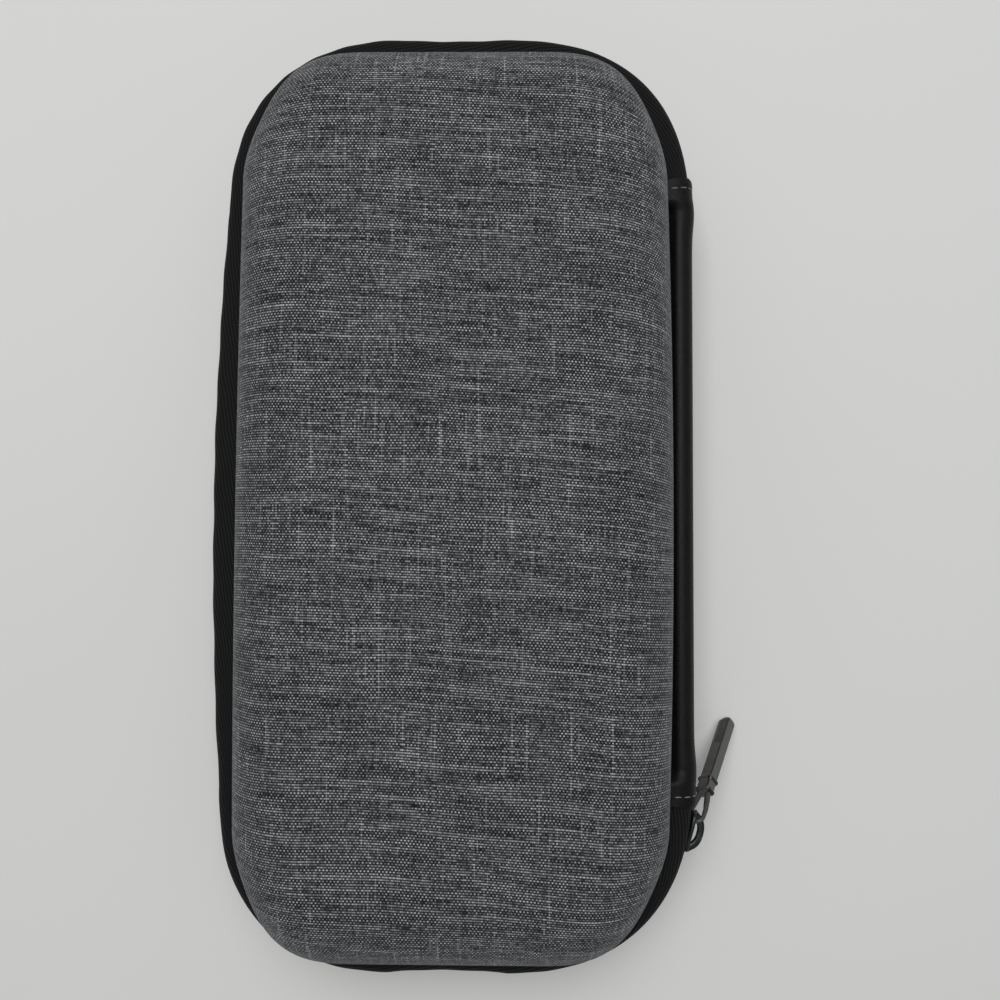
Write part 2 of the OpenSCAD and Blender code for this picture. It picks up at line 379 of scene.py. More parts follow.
@dataclass(frozen=True)
class Outline:
    """A rectangle with round corners and bowed sides.

    Its parameter counts sides and corners: 0 to 1 is the +X side from -Y to +Y, 1 to 2 the corner after it, and so
    on anticlockwise up to 8. Pairs give the +X and -X sides, or the +Y and -Y ones. The corners' fullness starts
    at +X+Y.
    """

    half_w: float
    half_l: float
    corner: float
    centre_x: float = 0.0
    centre_y: float = 0.0
    side_middle: tuple[float, float] = (0.0, 0.0)
    side_ends: tuple[float, float] = (0.0, 0.0)
    end_middle: tuple[float, float] = (0.0, 0.0)
    fullness: tuple[float, float, float, float] = (0.0, 0.0, 0.0, 0.0)
    skew: float = 0.0

    def _bow(self, part: Array, centres: Array, direction: Array) -> Array:
        """How far the outline stands out beyond the plain rectangle with round corners.

        Along a long side it goes from the middle's value to the ends' with the square of the place, and fades
        round the corner with x^4, where (x, y) is the direction. Along a short side it falls off with the
        square of the place and fades with y^8. A corner adds (2 x y)^2 times its fullness, and the skew adds
        (2 x y)^2 (x^2 - y^2), which moves the fullness towards one of the sides.
        """
        x, y = direction.T
        share = (centres / [self.half_w - self.corner + 1e-9, self.half_l - self.corner + 1e-9]) ** 2
        middle, ends = (np.where(x > 0, *pair) for pair in (self.side_middle, self.side_ends))
        long_side = (middle + (ends - middle) * share[:, 1]) * x ** 4
        short_side = np.where(y > 0, *self.end_middle) * (1 - 0.6 * share[:, 0]) * y ** 8
        turning = (2 * x * y) ** 2
        return long_side + short_side + turning * (np.array(self.fullness)[part // 2] + self.skew * (x * x - y * y))

    def at(self, t: Array) -> tuple[Array, Array]:
        """Points and outward directions.

        A corner is its centre plus the radius times the direction, which turns a right angle. A side slides
        from one corner's centre to the next with a fixed direction. Both are moved out by the bow.

        Args:
            t: Parameters, in which 8 is 0 again.

        Returns:
            The points and the directions, both flat.
        """
        part = np.floor(t).astype(int) % 8
        share = t - np.floor(t)
        side, bends = part // 2, part % 2
        angle = (side + bends * share) * math.pi / 2
        direction = np.stack([np.cos(angle), np.sin(angle)], -1)
        signs = np.array([[1, 1], [-1, 1], [-1, -1], [1, -1]], float)
        here, before = signs[side], signs[side - 1]
        along = np.where(bends == 1, 1.0, share)[:, None]
        centres = (before + (here - before) * along) * [self.half_w - self.corner, self.half_l - self.corner]
        reach = self.corner + self._bow(part, centres, direction)
        return centres + reach[:, None] * direction + [self.centre_x, self.centre_y], direction

    def spaced(self, spacing: float, start: float = 0.0, stop: float = 8.0) -> Array:
        """Parameters about evenly far apart.

        Args:
            spacing: The distance wanted between neighbours.
            start: The first parameter.
            stop: The last one, which is left out where it meets the first.

        Returns:
            The parameters.
        """
        sides = [2 * (self.half_l - self.corner), 2 * (self.half_w - self.corner)]
        found = []
        for part in range(int(start), math.ceil(stop)):
            long = self.corner * math.pi / 2 if part % 2 else sides[part // 2 % 2]
            low, high = max(start, part), min(stop, part + 1)
            count = max(1, round(long * (high - low) / spacing))
            found.append(low + (high - low) * np.arange(count) / count)
        if stop - start < 8:
            found.append(np.array([stop]))
        return np.concatenate(found)


# ---- materials ----


class Signal:
    """A number that varies over a surface. Python's operators add the Math nodes that work it out."""

    def __init__(self, nodes: "Nodes", socket: bpy.types.NodeSocket) -> None:
        """Wraps an output socket of a material's node tree."""
        self.nodes = nodes
        self.socket = socket

    def math(self, operation: str, *others: "Signal | float", clamp: bool = False) -> "Signal":
        """One Math node on this value and others."""
        settings = {"operation": operation, "use_clamp": clamp}
        return Signal(self.nodes, self.nodes.add("ShaderNodeMath", settings, [self, *others]).outputs[0])

    def __add__(self, other: "Signal | float") -> "Signal":
        """Sum."""
        return self.math("ADD", other)

    __radd__ = __add__

    def __mul__(self, other: "Signal | float") -> "Signal":
        """Product."""
        return self.math("MULTIPLY", other)

    __rmul__ = __mul__

    def __sub__(self, other: "Signal | float") -> "Signal":
        """Difference."""
        return self.math("SUBTRACT", other)

    def __rsub__(self, other: float) -> "Signal":
        """A number less this value."""
        return (self * -1.0) + other

    def __truediv__(self, other: "Signal | float") -> "Signal":
        """Quotient."""
        return self.math("DIVIDE", other)

    def __pow__(self, power: float) -> "Signal":
        """Power."""
        return self.math("POWER", power)

    def floor(self) -> "Signal":
        """The whole number below."""
        return self.math("FLOOR")

    def fraction(self) -> "Signal":
        """What is left above the whole number below."""
        return self.math("FRACT")

    def size(self) -> "Signal":
        """The value without its sign."""
        return self.math("ABSOLUTE")

    def sine(self) -> "Signal":
        """Sine, of radians."""
        return self.math("SINE")

    def clamped(self) -> "Signal":
        """Kept from 0 to 1."""
        return self.math("ADD", 0.0, clamp=True)

    def step(self, low: float, high: float) -> "Signal":
        """0 below low, 1 above high, and smooth between them."""
        share = ((self - low) / (high - low)).clamped()
        return share * share * (3.0 - share * 2.0)


class Nodes:
    """A material's node tree with a Principled shader, and the few ways in which this file adds to it."""

    def __init__(self, name: str) -> None:
        """Makes the material and empties its tree.

        Args:
            name: The material's name.
        """
        self.material = bpy.data.materials.new(name)
        self.material.use_nodes = True
        self.tree = self.material.node_tree
        self.tree.nodes.clear()
        self.shader = self.tree.nodes.new("ShaderNodeBsdfPrincipled")
        output = self.tree.nodes.new("ShaderNodeOutputMaterial")
        self.tree.links.new(self.shader.outputs[0], output.inputs["Surface"])

    def add(self, kind: str, settings: dict | None = None, inputs: dict | Sequence | None = None) -> bpy.types.Node:
        """Adds a node.

        Args:
            kind: The node's type.
            settings: Its properties, which are set first. "stops" holds a ramp's places and colours.
            inputs: Values, signals or sockets, by socket name or in order.

        Returns:
            The node.
        """
        node = self.tree.nodes.new(kind)
        for key, value in (settings or {}).items():
            setattr(node, key, value)
        pairs = inputs.items() if isinstance(inputs, dict) else enumerate(inputs or [])
        for key, value in pairs:
            value = value.socket if isinstance(value, Signal) else value
            if isinstance(value, bpy.types.NodeSocket):
                self.tree.links.new(value, node.inputs[key])
            else:
                node.inputs[key].default_value = value
        return node

    def cloth(self) -> tuple[Signal, Signal]:
        """The place in the piece's own pattern, in millimetres."""
        source = self.add("ShaderNodeUVMap", {"uv_map": "cloth"})
        return self._split(source.outputs[0])[:2]

    def place(self) -> tuple[Signal, Signal, Signal]:
        """The place in the row frame, in millimetres."""
        source = self.add("ShaderNodeTexCoord")
        return self._split(source.outputs["Object"])

    def _split(self, vector: bpy.types.NodeSocket) -> tuple[Signal, Signal, Signal]:
        """A vector's three numbers, from metres to millimetres."""
        parts = self.add("ShaderNodeSeparateXYZ", inputs=[vector]).outputs
        return tuple(Signal(self, part) * (1 / MM) for part in parts)

    def vector(self, x: Signal | float, y: Signal | float, z: Signal | float = 0.0) -> bpy.types.NodeSocket:
        """Three numbers as one vector."""
        return self.add("ShaderNodeCombineXYZ", inputs=[x, y, z]).outputs[0]

    def noise(self, vector: bpy.types.NodeSocket, scale: float = 1.0, detail: float = 2.0,
              roughness: float = 0.5) -> Signal:
        """Smooth noise from about 0.2 to 0.8."""
        made = self.add("ShaderNodeTexNoise", {"noise_dimensions": "3D"},
                        {"Vector": vector, "Scale": scale, "Detail": detail, "Roughness": roughness})
        return Signal(self, made.outputs[0])

    def cells(self, vector: bpy.types.NodeSocket, scale: float, feature: str = "F1") -> Signal:
        """Distance to the nearest of many scattered points, or to the walls between them."""
        made = self.add("ShaderNodeTexVoronoi", {"feature": feature}, {"Vector": vector, "Scale": scale})
        return Signal(self, made.outputs["Distance"])

    def chance(self, vector: bpy.types.NodeSocket) -> Signal:
        """A random number from 0 to 1 for each place."""
        made = self.add("ShaderNodeTexWhiteNoise", {"noise_dimensions": "3D"}, {"Vector": vector})
        return Signal(self, made.outputs["Value"])

    def blend(self, share: Signal | float, first: Colour | bpy.types.NodeSocket,
              second: Colour | bpy.types.NodeSocket) -> bpy.types.NodeSocket:
        """A colour between two."""
        ends = [(*c, 1.0) if isinstance(c, tuple) else c for c in (first, second)]
        made = self.add("ShaderNodeMix", {"data_type": "RGBA"}, {0: share, 6: ends[0], 7: ends[1]})
        return made.outputs[2]

    def dress(self, colour: bpy.types.NodeSocket | Colour, roughness: Signal | float, height: Signal | None = None,
              depth: float = 0.1, strength: float = 1.0, **constants: float | tuple) -> bpy.types.Material:
        """Joins the finished patterns to the shader.

        Args:
            colour: The base colour.
            roughness: The roughness.
            height: The relief, from 0 to 1.
            depth: How many millimetres a relief of 1 stands up.
            strength: The share of the relief that shows.
            constants: Values of other sockets, with _ for a space in the name.

        Returns:
            The material.
        """
        values = {name.replace("_", " "): value for name, value in constants.items()}
        for name, value in {"Base Color": colour, "Roughness": roughness, **values}.items():
            value = value.socket if isinstance(value, Signal) else value
            if isinstance(value, bpy.types.NodeSocket):
                self.tree.links.new(value, self.shader.inputs[name])
            else:
                full = (*value, 1.0) if isinstance(value, tuple) and len(value) == 3 else value
                self.shader.inputs[name].default_value = full
        if height is not None:
            bump = self.add("ShaderNodeBump", None,
                            {"Height": height, "Distance": depth * MM, "Strength": strength})
            self.tree.links.new(bump.outputs[0], self.shader.inputs["Normal"])
        return self.material


@dataclass(frozen=True)
class HeatherWeave:
    """Two-tone plain weave: pale weft crosses dark warp, and both are uneven in tone along their length."""

    name: str = "heather_weave"
    warp_pitch: float = 0.58
    weft_pitch: float = 0.85
    droop_from: float = -76.0
    droop: float = 0.00066
    dark: Colour = (0.006, 0.0065, 0.0075)
    pale: Colour = (0.475, 0.48, 0.495)
    depth: float = 0.2

    def material(self) -> bpy.types.Material:
        """Makes the material.

        A thread's number is the whole part of its coordinate. Where the sum of the two numbers is even the weft
        is on top, and otherwise the warp. Each thread's tone is noise stretched along it.

        Returns:
            The material.
        """
        n = Nodes(self.name)
        x, y = n.cloth()
        wander = n.noise(n.vector(x, y), 0.02, 1.0)
        from_left = x - self.droop_from
        warp = (x + wander * 2.4) / self.warp_pitch
        weft = (y + from_left * from_left * (self.droop / 2) + wander * 3.0) / self.weft_pitch
        warp_no, weft_no = warp.floor(), weft.floor()
        warp_on_top = (warp_no + weft_no).math("FLOORED_MODULO", 2.0)
        weft_slub = n.noise(n.vector(x * 0.06, weft_no * 5.3), 1.0, 2.0, 0.6)
        weft_lot = n.noise(n.vector(x * 0.012, weft_no * 0.31), 1.0, 3.0, 0.8)
        warp_slub = n.noise(n.vector(warp_no * 5.3, y * 0.03, 9.0), 1.0, 2.0, 0.6)
        flecks = n.chance(n.vector(warp_no, weft_no, 3.0))
        cloud = n.noise(n.vector(x, y, 2.0), 0.05, 3.0, 0.6)
        weft_tone = ((weft_slub - 0.5) * 1.3 + (weft_lot - 0.5) * 0.5 + (flecks - 0.5) * 0.5 + 0.56).clamped()
        warp_tone = (warp_slub.step(0.56, 0.74) * 0.75 + (flecks - 0.5) * 0.16 + 0.03).clamped()
        loose = n.noise(n.vector(x * 0.03, weft_no * 0.45, 4.0), 1.0, 2.0, 0.6).step(0.35, 0.68)
        covered = weft_tone * (loose * 0.5 + 0.08) + warp_tone
        top_tone = weft_tone + (covered - weft_tone) * warp_on_top
        round_warp = 1.0 - ((warp.fraction() * 2.0 - 1.0) ** 2.0)
        round_weft = 1.0 - ((weft.fraction() * 2.0 - 1.0) ** 2.0)
        lump = (round_warp * 0.5 + 0.5) * (round_weft * round_weft * 0.98 + 0.02)
        tone = ((top_tone * lump * (cloud * 0.3 + 0.85)).clamped() ** 1.3 * 1.25).clamped()
        colour = n.blend(tone, self.dark, self.pale)
        return n.dress(colour, 0.9, lump * (0.6 + top_tone * 0.4), self.depth, 0.8, Specular_IOR_Level=0.12,
                       Sheen_Weight=0.14, Sheen_Roughness=0.45, Sheen_Tint=(0.75, 0.77, 0.8))


@dataclass(frozen=True)
class RibbedTape:
    """Woven tape with ribs that run nearly along it."""

    name: str
    dark: Colour
    pale: Colour
    pitch: float = 1.2
    lean: float = -0.2
    depth: float = 0.22
    sheen: float = 0.12

    def material(self) -> bpy.types.Material:
        """Makes the material. The ribs are a sine of the place across plus a share of the place along.

        Returns:
            The material.
        """
        n = Nodes(self.name)
        along, across = n.cloth()
        wander = n.noise(n.vector(along, across), 0.12, 2.0)
        turn = 2 * math.pi
        rib = ((across + along * self.lean + wander * 0.9) * (turn / self.pitch)).sine() * 0.5 + 0.5
        twist = ((along - across * 0.7) * (turn / 0.55)).sine() * 0.5 + 0.5
        fuzz = n.noise(n.vector(along * 3.0, across * 3.0), 1.0, 3.0, 0.7)
        height = rib * 0.7 + twist * 0.18 + fuzz * 0.12
        tone = (rib * 0.55 + twist * 0.15 + (fuzz - 0.5) * 0.7 + 0.1).clamped()
        return n.dress(n.blend(tone, self.dark, self.pale), 0.85, height, self.depth, 0.9,
                       Specular_IOR_Level=0.12, Sheen_Weight=self.sheen, Sheen_Roughness=0.4)


@dataclass(frozen=True)
class Leatherette:
    """Coated fabric with a fine pebbled grain and a satin face."""

    name: str = "leatherette"
    dark: Colour = (0.002, 0.0021, 0.0025)
    pale: Colour = (0.0065, 0.0065, 0.0072)
    grain: float = 0.55

    def material(self) -> bpy.types.Material:
        """Makes the material. The grain is the distance to the walls between scattered cells.

        Returns:
            The material.
        """
        n = Nodes(self.name)
        x, y, z = n.place()
        place = n.vector(x, y, z)
        walls = n.cells(place, 1 / self.grain, "DISTANCE_TO_EDGE").step(0.0, 0.28)
        folds = n.noise(n.vector(x * 0.4, y * 0.05, z * 0.4), 1.0, 3.0)
        lighter_tone = n.noise(place, 0.12, 4.0, 0.6)
        colour = n.blend((walls * 0.45 + (lighter_tone - 0.35) * 1.1).clamped(), self.dark, self.pale)
        roughness = 0.5 - walls * 0.08 + (lighter_tone - 0.5) * 0.16
        return n.dress(colour, roughness, walls * 0.6 + folds * 0.7, 0.09, 0.7, Specular_IOR_Level=0.15)


@dataclass(frozen=True)
class SoftPlastic:
    """Moulded soft plastic with a fine matt texture, lighter at its sharp edges."""

    name: str
    dark: Colour
    pale: Colour
    roughness: float = 0.42

    def material(self) -> bpy.types.Material:
        """Makes the material.

        Returns:
            The material.
        """
        n = Nodes(self.name)
        place = n.vector(*n.place())
        stains = n.noise(place, 0.25, 4.0, 0.6)
        speckle = n.noise(place, 6.0, 2.0, 0.6)
        edge = Signal(n, n.add("ShaderNodeNewGeometry").outputs["Pointiness"]).step(0.5, 0.6)
        # sharp edges, found by pointiness, are made lighter
        tone = ((stains - 0.35) * 1.2 + (speckle - 0.5) * 0.35 + edge * 0.4).clamped()
        return n.dress(n.blend(tone, self.dark, self.pale), self.roughness + (speckle - 0.5) * 0.2,
                       speckle, 0.02, 0.5, Specular_IOR_Level=0.4)


@dataclass(frozen=True)
class MouldedGrip:
    """The pull's soft plastic, with painted shade on its two ribs, in the groove beside its face and in its sunk
    panel.

    Its pattern gives the distance past the first rib and the place across the face, or a value beyond the face
    on the sides.
    """

    name: str = "grip_plastic"
    dark: Colour = (0.055, 0.053, 0.050)
    pale: Colour = (0.105, 0.102, 0.097)
    side: Colour = (0.075, 0.083, 0.078)
    # near-black colour of the painted shade on the ribs, the groove and the sunk panel
    shade: Colour = (0.006, 0.0065, 0.0065)
    groove_at: float = -2.15
    rib_step: float = GRIP_RIB_STEP
    panel: tuple[float, float] = (22.0, 34.0)

    def material(self) -> bpy.types.Material:
        """Makes the material. The two ribs and the groove beside the face are painted near black as shade, the ribs
        darker on the sides than on the face, and the sunk panel is painted darker as shade.

        Returns:
            The material.
        """
        n = Nodes(self.name)
        along, across = n.cloth()
        place = n.vector(*n.place())
        stains = n.noise(place, 0.3, 4.0, 0.6)
        speckle = n.noise(place, 5.0, 2.0, 0.6)
        face = n.blend(((stains - 0.35) * 1.4 + (speckle - 0.5) * 0.4 + 0.3).clamped(), self.dark, self.pale)
        low, high = self.panel
        panel = along.step(low - 0.4, low + 0.4) * (1.0 - along.step(high - 0.4, high + 0.4))
        # painted shade: the sunk panel is darkened towards the near-black shade colour
        face = n.blend(panel * (1.0 - across.size().step(1.5, 1.8)) * (speckle * 0.6 + 0.2), face, self.shade)
        beside = across.size().step(3.0, 4.0)
        colour = n.blend(beside, face, self.side)
        middle = self.rib_step / 2
        # painted shade: the two ribs, darker on the sides, and the groove beside the face are darkened to near black
        rib = 1.0 - ((along - middle).size() - middle).size().step(0.7, 1.0)
        groove = (1.0 - (across - self.groove_at).size().step(0.16, 0.4)) * along.step(0.0, 0.4)
        dark = (rib * (beside * 0.65 + 0.3) + groove).clamped()
        return n.dress(n.blend(dark, colour, self.shade), 0.46 - rib * 0.2 + (speckle - 0.5) * 0.2, speckle, 0.02,
                       0.5, Specular_IOR_Level=0.4)


@dataclass(frozen=True)
class DarkPlating:
    """Cast zinc with a dark plating, paler in patches and at its sharp edges."""

    name: str = "dark_plating"
    plate: Colour = (0.022, 0.024, 0.025)
    lighter_tone: Colour = (0.16, 0.165, 0.165)

    def material(self) -> bpy.types.Material:
        """Makes the material. Sharp edges are paler, and fine scratches run along Y.

        Returns:
            The material.
        """
        n = Nodes(self.name)
        x, y, z = n.place()
        patches = n.noise(n.vector(x, y, z), 0.5, 4.0, 0.6)
        scratches = n.noise(n.vector(x * 6.0, y * 0.7, z * 6.0), 1.0, 3.0, 0.6)
        edge = Signal(n, n.add("ShaderNodeNewGeometry").outputs["Pointiness"]).step(0.52, 0.62)
        # sharp edges, found by pointiness, are blended towards the paler colour
        tone = (edge * 0.6 + (patches - 0.5) * 0.5 + (scratches - 0.5) * 0.3).clamped()
        return n.dress(n.blend(tone, self.plate, self.lighter_tone), 0.3 + (patches - 0.4) * 0.4,
                       scratches, 0.01, 0.4, Metallic=0.75, Specular_IOR_Level=0.5)


@dataclass(frozen=True)
class Foam:
    """Open-cell foam: a fine crust of pores."""

    name: str
    dark: Colour
    pale: Colour
    pore: float = 0.7

    def material(self) -> bpy.types.Material:
        """Makes the material. Pores are the middles of scattered cells, over a finer and a broader noise.

        Returns:
            The material.
        """
        n = Nodes(self.name)
        place = n.vector(*n.place())
        pores = n.cells(place, 1 / self.pore).step(0.05, 0.62)
        fine = n.noise(place, 3.0, 3.0, 0.7)
        broad = n.noise(place, 0.06, 3.0, 0.6)
        tone = (pores * 0.6 + (fine - 0.5) * 0.7 + (broad - 0.5) * 0.5).clamped()
        return n.dress(n.blend(tone, self.dark, self.pale), 0.95, pores * 0.8 + fine * 0.2, 0.25, 0.9,
                       Specular_IOR_Level=0.1, Sheen_Weight=0.15, Sheen_Roughness=0.6)


@dataclass(frozen=True)
class Knit:
    """Brushed knitted lining: rows of small loops under a short nap."""

    name: str = "lining_knit"
    dark: Colour = (0.008, 0.008, 0.009)
    pale: Colour = (0.03, 0.03, 0.032)
    pitch: float = 0.9

    def material(self) -> bpy.types.Material:
        """Makes the material. Each row's loops are shifted by half a loop from the last row's.

        Returns:
            The material.
        """
        n = Nodes(self.name)
        x, y = n.cloth()
        row = y / self.pitch
        shift = row.floor().math("FLOORED_MODULO", 2.0) * 0.5
        loop = (x / self.pitch + shift).fraction() * 2.0 - 1.0
        lump = (1.0 - loop * loop) * (1.0 - ((row.fraction() * 2.0 - 1.0) ** 2.0))
        nap = n.noise(n.vector(x, y), 2.5, 4.0, 0.7)
        tone = (lump * 0.35 + (nap - 0.3) * 0.9).clamped()
        return n.dress(n.blend(tone, self.dark, self.pale), 0.95, lump * 0.6 + nap * 0.4, 0.15, 0.8,
                       Specular_IOR_Level=0.1, Sheen_Weight=0.2, Sheen_Roughness=0.5)


@dataclass(frozen=True)
class Yarn:
    """Twisted thread or extruded nylon: a fine screw of light and dark along it."""

    name: str
    dark: Colour
    pale: Colour
    twist: float = 0.5
    roughness: float = 0.6

    def material(self) -> bpy.types.Material:
        """Makes the material.

        Returns:
            The material.
        """
        n = Nodes(self.name)
        x, y, z = n.place()
        screw = ((x + y + z * 0.7) * (2 * math.pi / self.twist)).sine() * 0.5 + 0.5
        dirt = n.noise(n.vector(x, y, z), 0.8, 3.0, 0.6)
        tone = (screw * 0.5 + (dirt - 0.3) * 0.8).clamped()
        return n.dress(n.blend(tone, self.dark, self.pale), self.roughness + (dirt - 0.5) * 0.1, screw, 0.03, 0.6,
                       Specular_IOR_Level=0.3)


@dataclass(frozen=True)
class FloorPaper:
    """A pale, plain studio floor."""

    name: str = "floor_paper"
    first: Colour = (0.615, 0.617, 0.605)
    second: Colour = (0.64, 0.642, 0.632)

    def material(self) -> bpy.types.Material:
        """Makes the material.

        Returns:
            The material.
        """
        n = Nodes(self.name)
        place = n.vector(*n.place())
        mottle = n.noise(place, 0.004, 3.0, 0.5)
        tooth = n.noise(place, 1.2, 2.0, 0.5)
        return n.dress(n.blend(mottle, self.first, self.second), 0.85, tooth, 0.02, 0.2, Specular_IOR_Level=0.2)


class Finishes:
    """Every finish of the case, made once."""

    def __init__(self) -> None:
        """Makes the materials."""
        self.cover = HeatherWeave().material()
        self.tape = RibbedTape("zip_tape", (0.001, 0.0011, 0.0013), (0.016, 0.0163, 0.0172), sheen=0.03,
                               depth=0.35).material()
        self.binding = RibbedTape("binding_tape", (0.005, 0.005, 0.0055), (0.02, 0.02, 0.022), pitch=0.9,
                                  lean=1.0, depth=0.15).material()
        self.strip = Leatherette().material()
        self.lining = Knit().material()
        self.tray_foam = Foam("tray_foam", (0.012, 0.012, 0.013), (0.06, 0.06, 0.063)).material()
        self.pad_foam = Foam("pad_foam", (0.016, 0.016, 0.017), (0.075, 0.075, 0.079), pore=0.9).material()
        self.shell_foam = Foam("shell_foam", (0.01, 0.01, 0.011), (0.03, 0.03, 0.032), pore=0.4).material()
        self.plating = DarkPlating().material()
        self.grip = MouldedGrip().material()
        self.cord = SoftPlastic("cord_plastic", (0.03, 0.034, 0.032), (0.08, 0.088, 0.083), 0.4).material()
        self.nylon = Yarn("coil_nylon", (0.008, 0.008, 0.009), (0.028, 0.028, 0.03), 0.8, 0.4).material()
        self.thread = Yarn("pale_thread", (0.13, 0.13, 0.13), (0.3, 0.3, 0.3), 0.35).material()
        self.dark_thread = Yarn("dark_thread", (0.008, 0.008, 0.009), (0.035, 0.035, 0.038), 0.35).material()
        self.floor = FloorPaper().material()


def finish_piece(piece: bpy.types.Object, material: bpy.types.Material, body: str | None = None,
                 replaced: Sequence[str] = ()) -> None:
    """Dresses a piece, and says what it rides on and stands for.

    Args:
        piece: The object.
        material: Its finish.
        body: The CAD body it rides on, or None, which leaves a piece between two bodies unattached.
        replaced: The CAD nodes it stands for.
    """
    piece.data.materials.append(material)
    if body:
        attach(piece, body)
    if replaced:
        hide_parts(*replaced)
    log.info("%s: %d faces", piece.name, len(piece.data.polygons))


# ---- the case's shape ----


@dataclass
class Form:
    """The moulded form of both half shells, and the zip's outline round it."""

    corner: float = 46.0
    rim: float = 8.0
    zip_corner: float = 64.0
    spacing: float = 1.7
    shoulder: float = 29.0
    mid: float = field(init=False)
    shell: Outline = field(init=False)
    zip: Outline = field(init=False)

    def __post_init__(self) -> None:
        """Reads the sizes from the frame."""
        low, high = node_box("lid_fabric")
        base_low, _ = node_box("base_fabric")
        self.mid = (high[2] + base_low[2]) / 2
        self.shell = Outline((high[0] - low[0]) / 2, (high[1] - low[1]) / 2, self.corner, centre_y=-1.5,
                             side_middle=(0.2, -0.6), side_ends=(-1.5, -1.4), fullness=(1.0, 0.3, 1.5, 0.3),
                             skew=-3.0)
        low, high = node_box("zip_tape_lower")
        self.zip = Outline((high[0] - low[0]) / 2, (high[1] - low[1]) / 2, self.zip_corner,
                           (high[0] + low[0]) / 2, side_middle=(0.0, 0.3), side_ends=(0.0, -3.4),
                           end_middle=(-0.7, -1.6), fullness=(3.4, 1.6, 2.3, 2.3))

    @property
    def wall_top(self) -> float:
        """The height at which the side wall turns into the shoulder."""
        return self.mid - self.shoulder

    def z(self, side: Side, h: Array | float) -> Array | float:
        """The place along Z of a height on one side."""
        return self.mid + side.value * h

    def skin(self, side: Side, depth: float, t: Array, shoulder_columns: int, top_columns: int) -> Array:
        """A surface inside the form: the shoulder's quarter circle, then rings that shrink to the middle.

        At depth d the quarter circle has radius shoulder - d about the same centre.

        Args:
            side: Lid or base.
            depth: Distance below the outside.
            t: Parameters round the outline.
            shoulder_columns: Points up the quarter circle.
            top_columns: Points from there to the middle, which is left out.

        Returns:
            Points by t, then from the wall to the middle.
        """
        at, out = self.shell.at(t)
        radius = self.shoulder - depth
        rise = np.linspace(0, math.pi / 2, shoulder_columns)
        inwards = self.shoulder - radius * np.cos(rise)
        flat = at[:, None] - out[:, None] * inwards[:, None]
        height = np.broadcast_to(self.wall_top + radius * np.sin(rise), flat.shape[:2])
        share = np.linspace(1, 0, top_columns + 2)[1:-1]
        top = flat[:, -1:] * share[:, None]
        top_height = np.full(top.shape[:2], self.wall_top + radius)
        plan = np.concatenate([flat, top], 1)
        h = np.concatenate([height, top_height], 1)
        return with_height(plan, self.z(side, h))

    def pole(self, side: Side, depth: float) -> Array:
        """The middle point of a skin."""
        return np.array([0.0, 0.0, self.z(side, self.mid - depth)])

    def laid_flat(self, t: Array, points: Array) -> Array:
        """Where the cover's cloth lay before it was moulded, for its pattern.

        The flat top keeps its place. From its edge outwards, the cloth goes on in the outline's direction by
        the distance travelled over the surface, less a share that stands for its stretching in the mould.

        Args:
            t: Parameters round the outline.
            points: Surface points by t, then from the flat top's edge outwards.

        Returns:
            Flat coordinates, with the first row repeated at the end.
        """
        _, out = self.shell.at(t)
        steps = np.linalg.norm(np.diff(points, axis=1), axis=-1)
        far = np.concatenate([np.zeros((len(t), 1)), np.cumsum(steps, 1)], 1)
        stretched = far * (1 - 0.1 * np.clip(far / 45, 0, 1))
        flat = points[:, :1, :2] + out[:, None] * stretched[..., None]
        return np.concatenate([flat, flat[:1]])

    def ring(self, t: Array, profile: Array, side: Side) -> Array:
        """Carries a section round the shell's outline.

        Args:
            t: Parameters round the outline.
            profile: Pairs of depth inside the outline and height.
            side: Lid or base.

        Returns:
            Points by t, then along the section.
        """
        at, out = self.shell.at(t)
        flat = at[:, None] - out[:, None] * profile[None, :, :1]
        return with_height(flat, self.z(side, profile[:, 1]))


# ---- covers, linings and bindings ----


